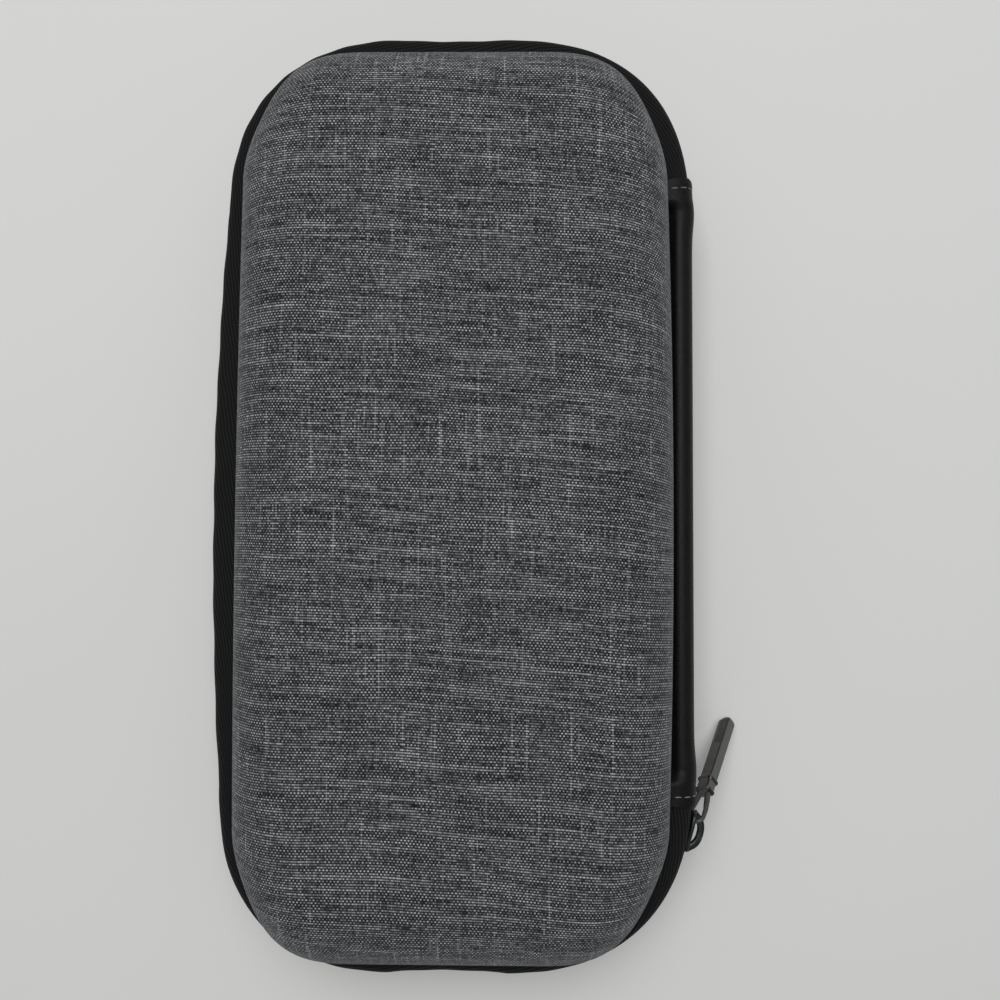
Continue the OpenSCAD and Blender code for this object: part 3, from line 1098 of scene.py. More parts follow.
@dataclass
class HalfShell:
    """One half of the case: its woven cover, moulded shell, lining and bound inside edge."""

    form: Form
    finishes: Finishes
    side: Side
    fabric: float = 0.6
    wall: float = 4.0
    roll: float = 1.3
    lining: float = 0.4
    binding_low: float = 8.0
    binding_high: float = 15.5
    cloth_size: tuple[float, float] = (0.190, 0.350)

    def build(self) -> None:
        """Makes the half's pieces, from the outside in."""
        self.cover()
        self.moulded_shell()
        self.lining_sheet()
        self.binding()

    def _two_skins(self, name: str, outside: float, inside: float, rim_out: Array, rim_in: Array,
                   columns: tuple[int, int]) -> bpy.types.Object:
        """A thin shell with a rim: two skins joined round the edge and closed in the middle.

        Args:
            name: The piece's name.
            outside: The outer skin's depth.
            inside: The inner skin's depth.
            rim_out: The section from the outer skin's edge to the end of the turned edge.
            rim_in: The section back to the inner skin's edge.
            columns: Points up the shoulder and over the top.

        Returns:
            The object.
        """
        form, side = self.form, self.side
        t = form.shell.spaced(form.spacing)
        outer = form.skin(side, outside, t, *columns)
        inner = form.skin(side, inside, t, *columns)
        shoulder = columns[0]
        edge = form.ring(t, np.concatenate([rim_out, rim_in]), side)
        turned = len(rim_out)
        outer_run = np.concatenate([outer[:, shoulder - 1::-1], edge[:, :turned]], 1)
        flat = form.laid_flat(t, outer_run)
        top = outer[:, shoulder:][:, ::-1]
        grid = np.concatenate([top, outer_run, edge[:, turned:], inner], 1)
        top_uv = np.concatenate([top[..., :2], top[:1, :, :2]])
        inner_uv = np.concatenate([inner[..., :2], inner[:1, :, :2]])
        edge_uv = np.repeat(flat[:, -1:], edge.shape[1] - turned, 1)
        uv = np.concatenate([top_uv, flat, edge_uv, inner_uv], 1)
        flip = side is Side.LID
        builder = Builder().grid(grid, wrap_u=True, flip=flip, uv=uv)
        middle = np.zeros(2)
        builder.fan(grid[:, 0], form.pole(side, outside), flip=flip, uv=uv[:-1, 0], uv_centre=middle)
        builder.fan(grid[:, -1], form.pole(side, inside), flip=not flip, uv=uv[:-1, -1], uv_centre=middle)
        return builder.build(name)

    def cover(self) -> None:
        """The woven cover, turned in under the rim with a rolled edge."""
        rim, roll, thin = self.form.rim, self.roll, self.fabric
        start = (roll, rim + roll)
        rim_out = np.concatenate([arc(start, roll, 180, 270, 8)[1:], [[self.wall - 0.8, rim + 0.1]],
                                  [[self.wall - 0.1, rim + 0.5]]])
        rim_in = np.concatenate([[[self.wall - 0.3, rim + 0.9]], arc(start, roll - thin, 270, 180, 6)])
        piece = self._two_skins(f"{self.side.body}_cover", 0.0, thin, rim_out, rim_in, (26, 12))
        finish_piece(piece, self.finishes.cover, self.side.body,
                            [f"{self.side.body}_fabric"])

    def moulded_shell(self) -> None:
        """The foam-rubber shell that gives the half its form."""
        low, outside, inside = self.form.rim + 0.7, self.fabric + 0.02, self.wall - self.lining - 0.02
        rim_out = np.array([[outside + 0.5, low + 0.6], [outside + 1.0, low + 0.2]])
        rim_in = np.array([[inside - 0.6, low + 0.5], [inside, low + 1.0]])
        piece = self._two_skins(f"{self.side.body}_moulded_shell", outside, inside, rim_out, rim_in, (14, 6))
        finish_piece(piece, self.finishes.shell_foam, self.side.body,
                            [f"{self.side.body}_eva_shell"])

    def lining_sheet(self) -> None:
        """The knitted lining on the inside of the moulded shell."""
        low = self.form.rim + 0.6
        outside = self.wall - self.lining
        rim_out = np.array([[outside, low + 0.2], [outside + 0.1, low]])
        rim_in = np.array([[self.wall - 0.1, low], [self.wall, low + 0.2]])
        piece = self._two_skins(f"{self.side.body}_lining_sheet", outside, self.wall, rim_out, rim_in, (14, 6))
        finish_piece(piece, self.finishes.lining, self.side.body,
                            [f"{self.side.body}_lining"])

    def _inner_profile(self, depth: float, heights: Array) -> Array:
        """Depth inside the outline at each height, following the wall and then the shoulder."""
        radius = self.form.shoulder - depth
        above = np.clip(heights - self.form.wall_top, 0, radius)
        return np.stack([self.form.shoulder - np.sqrt(radius ** 2 - above ** 2), heights], -1)

    def binding(self) -> None:
        """The ribbed tape that covers the inside seam, domed by the seam under it, with its stitches."""
        form = self.form
        t = form.shell.spaced(form.spacing)
        heights = np.linspace(self.binding_low, self.binding_high, 11)
        dome = 0.35 + 0.5 * np.sin(np.linspace(0, math.pi, 11)) ** 0.7
        back = self._inner_profile(self.wall + 0.6, heights)
        front = back + np.stack([dome, np.zeros(11)], -1)
        at, _ = form.shell.at(t)
        along = path_length(at, closed=True)
        uv = pattern(along, heights)
        flip = self.side is Side.BASE
        builder = Builder().slab(form.ring(t, front, self.side), form.ring(t, back, self.side), wrap_u=True,
                                 flip=flip, uv=uv)
        piece = builder.build(f"{self.side.body}_binding_tape")
        finish_piece(piece, self.finishes.binding, self.side.body, [f"{self.side.body}_binding"])
        rows = [form.ring(form.shell.spaced(3.2), front[i:i + 1] + [0.05, 0.0], self.side)[:, 0] for i in (2, 8)]
        seam = Stitching(length=2.5, radius=0.2).build(f"{self.side.body}_binding_stitches", rows)
        finish_piece(seam, self.finishes.dark_thread, self.side.body)


@dataclass
class Stitching:
    """A row of sewn stitches: short, plump lengths of thread, one between each two holes."""

    length: float = 2.6
    radius: float = 0.2

    def build(self, name: str, rows: Sequence[Array], up: Array | None = None) -> bpy.types.Object:
        """Lays one stitch at each point of each row, along the row.

        Args:
            name: The piece's name.
            rows: The middles of the stitches.
            up: A direction that the stitches' flat side faces.

        Returns:
            The object.
        """
        template, faces = ellipsoid(7, 8)
        template = template * [self.length / 2, self.radius, self.radius * 0.8]
        builder = Builder()
        for row in rows:
            along = unit(np.gradient(row, axis=0))
            side = unit(np.cross(along, up if up is not None else [0.0, 0.0, 1.0]))
            frames = np.stack([along, side, np.cross(along, side)], 1)
            builder.copies(template, faces, row, frames)
        return builder.build(name)


# ---- zip ----


@dataclass
class ZipHalf:
    """One zip tape with its row of coil."""

    form: Form
    finishes: Finishes
    side: Side
    thick: float = 0.6
    edge_h: float = 0.12
    flap_depth: float = 4.3
    flap_top: float = 10.0
    nose: float = 3.0
    web: float = 6.8
    dip: float = 1.6
    start: float = 1.068
    stop: float = 8.006
    unevenness: float = 0.12
    coil_pitch: float = 1.55
    coil_wire: float = 0.36
    coil_depth: float = 1.15
    coil_h: float = 1.62
    coil_reach: tuple[float, float] = (0.7, 1.12)

    def build(self) -> None:
        """Makes the tape and the coil."""
        self.tape()
        self.coil()

    def _swell(self, t: Array) -> Array:
        """A little unevenness of the band, in two waves of different lengths, least at the hinge side."""
        at, out = self.form.zip.at(t)
        waves = np.sin(at[:, 0] * 0.43 + at[:, 1] * 0.31) + 0.6 * np.sin(at[:, 0] * 0.17 - at[:, 1] * 0.12)
        return self.unevenness * waves * np.clip(0.7 - out[:, 0], 0, 1)

    def _surface(self, t: Array, section: Array, swell: Array) -> Array:
        """Carries a section from the zip's outline to the shell's.

        Args:
            t: Parameters round both outlines.
            section: Rows of share towards the shell, depth inside the zip's outline, depth inside the
                shell's outline, and height.
            swell: Extra distance outwards at each t.

        Returns:
            Points by t, then along the section.
        """
        zip_at, zip_out = self.form.zip.at(t)
        shell_at, shell_out = self.form.shell.at(t)
        share, zip_depth, shell_depth = (section[:, i][None, :, None] for i in range(3))
        near = zip_at[:, None] + zip_out[:, None] * (swell[:, None, None] - zip_depth)
        far = shell_at[:, None] - shell_out[:, None] * shell_depth
        flat = near * (1 - share) + far * share
        return with_height(flat, self.form.z(self.side, section[:, 3]))

    def _section(self, inset: float) -> Array:
        """The tape's section, drawn in by inset: edge, outer face, nose, web and the flap inside the wall."""
        nose_at = self.web - self.nose
        face = np.stack([np.full(6, inset), np.linspace(self.edge_h + inset * 0.2, nose_at, 6)], -1)
        turn = arc((-self.nose, nose_at), self.nose - inset, 0, 90, 9)[1:]
        turn[:, 0] *= -1
        curve = np.concatenate([face, turn])
        zero = np.zeros(len(curve))
        edge = np.stack([zero, curve[:, 0], zero + 4.0, curve[:, 1]], -1)
        share = np.linspace(0, 1, 7)[1:]
        behind = self.flap_depth + inset * 0.5
        web = np.stack([share, np.full(6, self.nose), np.full(6, behind),
                        self.web - self.dip * share ** 2 - inset], -1)
        low = self.web - self.dip
        flap = np.array([[1.0, self.nose, behind, h] for h in np.linspace(low + 0.8, self.flap_top, 5)])
        return np.concatenate([edge, web, flap])

    def tape(self) -> None:
        """The woven tape, from its edge at the zip's middle to its flap inside the shell."""
        t = self.form.zip.spaced(1.7, self.start, self.stop)
        swell = self._swell(t)
        outer = self._surface(t, self._section(0.0), swell)
        inner = self._surface(t, self._section(self.thick), swell)
        along = path_length(self.form.zip.at(t)[0])
        across = path_length(outer[len(t) // 2])
        uv = pattern(along, across)
        tape = Builder().slab(outer, inner, flip=self.side is Side.BASE, uv=uv)
        piece = tape.build(f"zip_tape_{self.side.tape}_woven")
        finish_piece(piece, self.finishes.tape, self.side.body, [f"zip_tape_{self.side.tape}"])

    def coil(self) -> None:
        """The nylon coil: a wire wound on an oval along the tape's edge, about the line behind its face."""
        turns = path_length(self.form.zip.at(self.form.zip.spaced(1.0, self.start, self.stop))[0])[-1]
        count = int(turns / self.coil_pitch * 10)
        t = self.form.zip.spaced(turns / count, self.start, self.stop)
        at, out = self.form.zip.at(t)
        swell = self._swell(t)
        angle = path_length(at) / self.coil_pitch * 2 * math.pi
        depth = self.thick + self.coil_depth + self.coil_reach[0] * np.cos(angle)
        h = self.coil_h + self.coil_reach[1] * np.sin(angle + (0 if self.side is Side.LID else math.pi))
        line = np.concatenate([at + out * (swell - depth)[:, None], self.form.z(self.side, h)[:, None]], 1)
        wire = sweep(line, np.full(len(line), self.coil_wire), 5)
        piece = Builder().tube(wire).build(f"zip_coil_{self.side.tape}_wound")
        finish_piece(piece, self.finishes.nylon, self.side.body, [f"zip_coil_{self.side.tape}"])


def sweep(line: Array, radius: Array, around: int, up: Sequence[float] = (0.0, 0.0, 1.0)) -> Array:
    """Rings round a line: each lies across the line's direction, with one axis level.

    Args:
        line: The points of the line.
        radius: The tube's radius at each.
        around: Points in a ring.
        up: A direction that the line never runs along.

    Returns:
        Points by ring, then around it.
    """
    along = unit(np.gradient(line, axis=0))
    side = unit(np.cross(along, np.array(up, float)))
    third = np.cross(side, along)
    turn = full_turn(around)
    around_it = np.cos(turn)[None, :, None] * side[:, None] + np.sin(turn)[None, :, None] * third[:, None]
    return line[:, None] + around_it * radius[:, None, None]


# ---- spine ----


@dataclass
class Spine:
    """The leatherette hinge strip, its stitches, and the lining behind it."""

    form: Form
    finishes: Finishes
    thick: float = 1.0
    half_h: float = 7.4
    bulge: float = 9.2
    inner_x: float = 74.3
    flap_h: float = 7.9
    dip: float = 0.6
    dip_w: float = 1.5
    lift: float = 0.9
    end_run: float = 16.0
    seam_from_end: float = 3.8
    seam_start: float = 4.15
    seam_stop: float = 6.6
    seam_step: float = 3.45
    end_low: float = field(init=False)
    end_high: float = field(init=False)
    centre: Array = field(init=False)

    def __post_init__(self) -> None:
        """Reads the strip's ends and the zip corner's centre from the frame."""
        low, high = node_box("spine_strip")
        self.end_low, self.end_high = low[1] + 1.2, high[1] - 2.6
        self.centre, _ = joint_axis("slider_travel")

    def _run(self, s: Array, reach: Array, h: Array) -> Array:
        """Points of the strip's path: straight along the side, then round the zip's corner at each end.

        Args:
            s: Distance along the path from the case's middle.
            reach: Distance from the corner's centre, or from the line of centres along the straight.
            h: Height above the middle plane.

        Returns:
            Points of the same shape as the arrays.
        """
        half = abs(self.centre[1])
        over = np.clip(np.abs(s) - half, 0, None)
        angle = over / self.form.zip_corner
        x = self.centre[0] + reach * np.cos(angle)
        y = np.sign(s) * (np.minimum(np.abs(s), half) + reach * np.sin(angle))
        return np.stack([x, y, self.form.mid + h], -1)

    def _ends(self) -> tuple[float, float]:
        """The path distances of the strip's two ends."""
        half, radius = abs(self.centre[1]), self.form.zip_corner
        return tuple(math.copysign(half + radius * math.asin((abs(y) - half) / radius), y)
                     for y in (self.end_low, self.end_high))

    def _swell(self, s: Array) -> Array:
        """How the strip's outer face stands out along its length.

        It bulges by a bell curve behind each end's stitches, sinks by a narrow one under them, rounds off at the
        very end, and draws in a little along the middle.
        """
        low, high = self._ends()
        swell = np.full(s.shape, -0.35)
        for end in (low, high):
            far = np.abs(s - end)
            swell += 0.75 * np.exp(-((far - 12) / 7.0) ** 2) - 0.35 * np.exp(-((far - 3.9) / 0.8) ** 2)
            swell += 0.9 * np.exp(-(far / 5.0) ** 4) - 0.4 * np.exp(-(far / 0.5) ** 2)
        return swell

    def _surface(self, s: Array, inset: float, columns: int) -> Array:
        """One face of the strip.

        Its section is half of a superellipse: reach = rim + bulge |cos a|^0.75 and height = half_h sin a with
        power 0.8. The height dips next to each rim by a share that dies away with e^(-distance), and a flap
        goes from there up the inside of the shell's wall. Over the tape's ends the dip fades and the strip lifts.

        Args:
            s: Distances along the path.
            inset: Depth below the outer face.
            columns: Points round the bulge.

        Returns:
            Points by s, then across from the lid's rim to the base's.
        """
        angle = np.linspace(90, -90, columns) * math.pi / 180
        low, high = self._ends()
        rim = self.form.shell.half_w - self.centre[0]
        swell = self._swell(s)[:, None]
        bulge = self.bulge - inset + swell
        reach = rim + bulge * np.abs(np.cos(angle)) ** 0.75
        over = smooth(np.clip((13 - np.abs(s[:, None] - np.where(s > 0, high, low)[:, None])) / 5, 0, 1))
        pulled = 1 - self.dip * (1 - over) * np.exp(-(reach - rim) / self.dip_w)
        h = (self.half_h + self.lift * over - inset) * signed_power(np.sin(angle), 0.8) * pulled
        tuck = np.full((len(s), 1), self.inner_x - self.centre[0] - inset)
        top = np.full((len(s), 1), self.flap_h)
        reach = np.concatenate([tuck, tuck, reach, tuck, tuck], 1)
        h = np.concatenate([top, h[:, :1], h, h[:, -1:], -top], 1)
        return self._run(np.broadcast_to(s[:, None], reach.shape), reach, h)

    def build(self) -> None:
        """Makes the strip, its stitches and its lining, which lie between base and lid and are attached to neither.
        """
        low, high = self._ends()
        middle = np.linspace(low + self.end_run, high - self.end_run, 120)
        near = self.end_run * (1 - np.cos(np.linspace(0, math.pi / 2, 40)))
        s = np.concatenate([low + near[:-1], middle, (high - near[:-1])[::-1]])
        outer, inner = self._surface(s, 0.0, 35), self._surface(s, self.thick, 35)
        across = path_length(outer[len(s) // 2])
        uv = pattern(s, across)
        strip = Builder().slab(outer, inner, flip=True, uv=uv).build("hinge_strip")
        finish_piece(strip, self.finishes.strip, None, ["spine_strip"])
        self._bend(strip)
        rows = [self._stitch_row(s) for s in (low + self.seam_from_end, high - self.seam_from_end)]
        seams = Stitching(length=2.7, radius=0.24).build("hinge_strip_stitches", rows, up=np.array([0.0, 1.0, 0.0]))
        finish_piece(seams, self.finishes.thread, None, ["spine_stitches"])
        self._bend(seams)
        back_low, back_high = node_box("spine_lining")
        s = np.linspace(back_low[1], back_high[1], 90)
        outer, inner = self._surface(s, self.thick + 0.25, 25), self._surface(s, self.thick + 0.65, 25)
        across = path_length(outer[45])
        uv = pattern(s, across)
        lining = Builder().slab(outer, inner, flip=True, uv=uv).build("hinge_lining")
        finish_piece(lining, self.finishes.lining, None, ["spine_lining"])
        self._bend(lining)

    def _stitch_row(self, s: float) -> Array:
        """Middles of the stitches across the strip at one path distance, evenly far apart over its face."""
        line = self._surface(np.array([s]), -0.02, 400)[0]
        travelled = path_length(line)
        wanted = np.arange(self.seam_start, travelled[-1] - self.seam_stop, self.seam_step)
        return np.stack([np.interp(wanted, travelled, line[:, i]) for i in range(3)], -1)

    def _bend(self, piece: bpy.types.Object) -> None:
        """Bakes a piece's place into its mesh; the rims' places are worked out and not used."""
        x, mid, rim = self.form.shell.half_w, self.form.mid, self.form.rim
        x * MM
        (mid - rim) * MM
        x * MM
        (mid + rim) * MM
        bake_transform(piece)


# ---- foam ----


@dataclass
class FoamInserts:
    """The pocketed tray in the base and the waffled pad in the lid."""

    form: Form
    finishes: Finishes
    inset: float = 5.4
    tray_top: float = 1.5
    floor_h: float = 30.9
    pocket: tuple[float, float] = (33.0, 44.0)
    pocket_depth: float = 26.0
    pocket_corner: float = 5.0
    wall: float = 8.0
    columns: int = 3
    rows: int = 5
    lip: float = 1.3
    pad_low: float = 4.0
    waffle: float = 26.0
    waffle_depth: float = 11.0

    def build(self) -> None:
        """Makes both inserts, and dresses the backings that the frame already has."""
        self.tray()
        self.pad()
        for side in Side:
            backing = frame["nodes"][f"{side.body}_foam_backing"]
            backing.data.materials.clear()
            backing.data.materials.append(self.finishes.shell_foam)

    def _edge_profile(self, top: float) -> Array:
        """Depth and height down the foam's side: a rounded lip, the straight wall, the shoulder, the floor."""
        radius = self.form.shoulder - self.inset
        start = self.form.wall_top
        last = math.degrees(math.asin((self.floor_h - start) / radius))
        lip = arc((self.inset + self.lip, top + self.lip), self.lip, 270, 180, 6)
        low = arc((self.form.shoulder, start), radius, 0, last, 16)
        low[:, 0] = 2 * self.form.shoulder - low[:, 0]
        straight = np.stack([np.full(5, self.inset), np.linspace(top + self.lip, start, 7)[1:-1]], -1)
        return np.concatenate([lip, straight, low])

    def tray(self) -> None:
        """The tray: a ring of foam round a block of cells, each with a pocket.

        Each cell is a frame between its rectangle and its pocket's outline. The pocket's section is a rounded
        lip, a wall that bellies by a fraction of a millimetre, and a flat floor.
        """
        form, side = self.form, Side.BASE
        z = form.z(side, self.tray_top)
        cell = np.array([self.pocket[0] + self.wall, self.pocket[1] + self.wall])
        hole = Outline(self.pocket[0] / 2, self.pocket[1] / 2, self.pocket_corner)
        per_x, per_y, per_corner = 12, 16, 6
        sides = [per_y, per_corner, per_x, per_corner] * 2
        t = np.concatenate([part + np.arange(count) / count for part, count in enumerate(sides)])
        at, out = hole.at(t)
        square, _ = Outline(cell[0] / 2, cell[1] / 2, 1e-6).at(t)
        lip = arc((-self.lip, self.lip), self.lip, 270, 360, 6)
        belly = np.linspace(0, 1, 9)[1:]
        wall = np.stack([-0.35 * np.sin(belly * math.pi), self.lip + belly * (self.pocket_depth - self.lip)], -1)
        section = np.concatenate([lip, wall, [[0.5, self.pocket_depth + 0.05]]])
        builder = Builder()
        for column in range(self.columns):
            for row in range(self.rows):
                centre = (np.array([column, row]) - np.array([self.columns - 1, self.rows - 1]) / 2) * cell
                rings = at[:, None] - out[:, None] * section[None, :, :1]
                pocket = with_height(rings + centre, z - section[:, 1])
                frame_edge = with_height(square + centre, z)[:, None]
                halfway = (frame_edge + pocket[:, :1]) / 2
                builder.grid(np.concatenate([frame_edge, halfway, pocket], 1), wrap_u=True, flip=True)
                floor = np.array([*centre, z - self.pocket_depth - 0.05])
                builder.fan(pocket[:, -1], floor)
        block, rim = self._block_rim(cell, per_x, per_y, per_corner)
        edge = form.ring(rim, self._edge_profile(self.tray_top), side)
        inner = with_height(block, z)[:, None]
        share = np.array([0.33, 0.67])[None, :, None]
        between = inner + (edge[:, :1] - inner) * share
        builder.grid(np.concatenate([inner, between, edge], 1), wrap_u=True)
        builder.fan(edge[:, -1], np.array([0.0, 0.0, form.z(side, self.floor_h)]))
        piece = builder.build("foam_tray_cut", merge=0.01)
        finish_piece(piece, self.finishes.tray_foam, "base", ["base_foam_tray"])

    def _block_rim(self, cell: Array, per_x: int, per_y: int, per_corner: int) -> tuple[Array, Array]:
        """The points round the block of cells, and the parameters of the outline that they join.

        Args:
            cell: A cell's width and length.
            per_x: Steps along a cell's width.
            per_y: Steps along its length.
            per_corner: Steps round a corner, all at one point of the block.

        Returns:
            The points and the parameters.
        """
        counts = [per_y * self.rows, per_corner * 2, per_x * self.columns, per_corner * 2] * 2
        t = np.concatenate([part + np.arange(count) / count for part, count in enumerate(counts)])
        block = Outline(cell[0] * self.columns / 2, cell[1] * self.rows / 2, 1e-6)
        return block.at(t)[0], t

    def pad(self) -> None:
        """The lid's pad: rings that shrink from its edge to the middle, raised and sunk in waves.

        The waves are 0.5 - 0.5 cos x cos y, times their depth, and fade out within 12 mm of the edge.
        """
        form, side = self.form, Side.LID
        t = form.shell.spaced(2.0)
        edge = form.ring(t, self._edge_profile(self.pad_low), side)
        start = edge[:, :1, :2]
        share = np.linspace(1, 0, 46)[1:-1][None, :, None]
        plan = start * share
        reach = np.abs(start - plan)
        inside = np.linalg.norm(reach, axis=-1)
        fade = smooth(np.clip(inside / 12, 0, 1))
        turn = 2 * math.pi / self.waffle
        waves = 0.5 - 0.5 * np.cos(plan[..., 0] * turn) * np.cos(plan[..., 1] * turn)
        h = self.pad_low + self.waffle_depth * waves * fade
        top = with_height(plan, form.z(side, h))
        builder = Builder().grid(np.concatenate([top[:, ::-1], edge], 1), wrap_u=True, flip=True)
        builder.fan(top[:, -1], np.array([0.0, 0.0, form.z(side, self.pad_low)]), flip=True)
        builder.fan(edge[:, -1], np.array([0.0, 0.0, form.z(side, self.floor_h)]))
        piece = builder.build("lid_waffle_pad")
        finish_piece(piece, self.finishes.pad_foam, "lid", ["lid_foam_pad"])


# ---- slider and pull ----


@dataclass
class Place:
    """A small frame of its own: an origin and three directions, as the rows of a matrix."""

    origin: Array
    axes: Array

    def out(self, points: Array) -> Array:
        """Points of this frame in the row frame."""
        return self.origin + points @ self.axes


@dataclass
class Slider:
    """The zip's slider: two shield-shaped plates, flanges, the post between them and the bridge on top."""

    form: Form
    finishes: Finishes
    half_l: float = 7.2
    half_h: float = 5.0
    taper: float = 0.9
    plate: float = 1.3
    round: float = 0.4
    crown: float = 0.15
    crown_in: float = 2.2
    outer_gap: float = 0.7
    inner_gap: float = 4.5
    arch: float = 6.35
    arch_back: float = 1.0
    arch_w: float = 1.2
    arch_h: float = 1.1
    squareness: float = 0.85

    def place(self) -> Place:
        """The slider's frame: X out of the zip, Y along it towards the strip, Z up.

        Its origin is on the zip's outline, in the direction from the corner's centre to the slider.
        """
        centre, _ = joint_axis("slider_travel")
        low, high = node_box("slider_bridge")
        out = unit(((low + high) / 2 - centre) * [1, 1, 0])
        up = np.array([0.0, 0.0, 1.0])
        return Place(centre + out * self.form.zip_corner, np.stack([out, np.cross(up, out), up]))

    def build(self) -> None:
        """Makes the slider's body and its bridge."""
        place = self.place()
        body = Builder()
        self._plate(body, place, self.outer_gap, 1)
        self._plate(body, place, -self.inner_gap, -1)
        for side in (-1, 1):
            z = side * (self.half_h - self.taper - 0.5)
            self._bar(body, place, (-self.inner_gap + 1.0, 0.0, z), (1.4, self.half_l - 2.0, 0.48))
        self._bar(body, place, (-1.6, self.half_l - 2.6, 0.0), (2.4, 1.6, 0.6))
        finish_piece(body.build("slider_plates"), self.finishes.plating, "slider", ["slider_body"])
        self.bridge(place)

    def _plate(self, builder: Builder, place: Place, start: float, direction: int) -> None:
        """One plate: a shield outline, drawn in round its edges by a rounded section.

        The outline is a superellipse whose width narrows by a smooth step from the strip's end to the other.
        """
        turn = full_turn(72)
        y = self.half_l * signed_power(np.cos(turn), 0.45)
        narrow = 1 / (1 + np.exp(y * 1.6))
        z = (self.half_h - self.taper * narrow) * signed_power(np.sin(turn), 0.45)
        edge = np.concatenate([[[self.crown_in, 0.0]],
                               arc((self.round, self.round), self.round, 270, 180, 5),
                               arc((self.round, self.plate - self.round), self.round, 180, 90, 5),
                               [[self.crown_in, self.plate + self.crown]]])
        size = np.array([self.half_l, self.half_h])
        flat = np.stack([y, z], -1)[:, None] * (1 - edge[:, :1] / size)[None]
        x = np.broadcast_to(start + direction * edge[:, 1], flat.shape[:2])
        points = place.out(np.concatenate([x[..., None], flat], -1))
        flip = direction < 0
        builder.grid(points, wrap_u=True, flip=flip)
        builder.fan(points[:, 0], points[:, 0].mean(0), flip=not flip)
        builder.fan(points[:, -1], points[:, -1].mean(0), flip=flip)

    @staticmethod
    def _bar(builder: Builder, place: Place, centre: Sequence[float], half: Sequence[float]) -> None:
        """A small block with rounded edges: a superellipsoid."""
        a = np.linspace(-math.pi / 2, math.pi / 2, 15)[1:-1][:, None]
        b = full_turn(24)[None]
        round_a, round_b = 0.25, 0.3
        x = signed_power(np.cos(a), round_a) * signed_power(np.cos(b), round_b)
        z = signed_power(np.cos(a), round_a) * signed_power(np.sin(b), round_b)
        y = np.broadcast_to(signed_power(np.sin(a), round_a), x.shape)
        points = place.out(np.stack([x, y, z], -1) * half + np.array(centre))
        builder.tube(points)

    def bridge(self, place: Place) -> None:
        """The arch that the pull hangs on: a rounded bar bent to a D, with its feet spread on the plate."""
        last = math.degrees(math.acos((self.arch_back + self.outer_gap + 0.6) / self.arch))
        angle = np.radians(np.linspace(-last, last, 61))
        foot = np.clip((np.abs(np.degrees(angle)) - last + 16) / 16, 0, 1) ** 2
        turn = full_turn(28)
        across = signed_power(np.cos(turn), 0.6)[None] * (self.arch_w * (1 + 0.35 * foot))[:, None]
        up = signed_power(np.sin(turn), 0.6)[None] * (self.arch_h * (1 + 0.3 * foot))[:, None]
        reach = self.arch + across
        x = reach * signed_power(np.cos(angle), self.squareness)[:, None] - self.arch_back
        y = reach * signed_power(np.sin(angle), self.squareness)[:, None]
        points = place.out(np.stack([x, y, up], -1))
        piece = Builder().tube(points, flip=True).build("slider_arch")
        finish_piece(piece, self.finishes.plating, "slider", ["slider_bridge"])


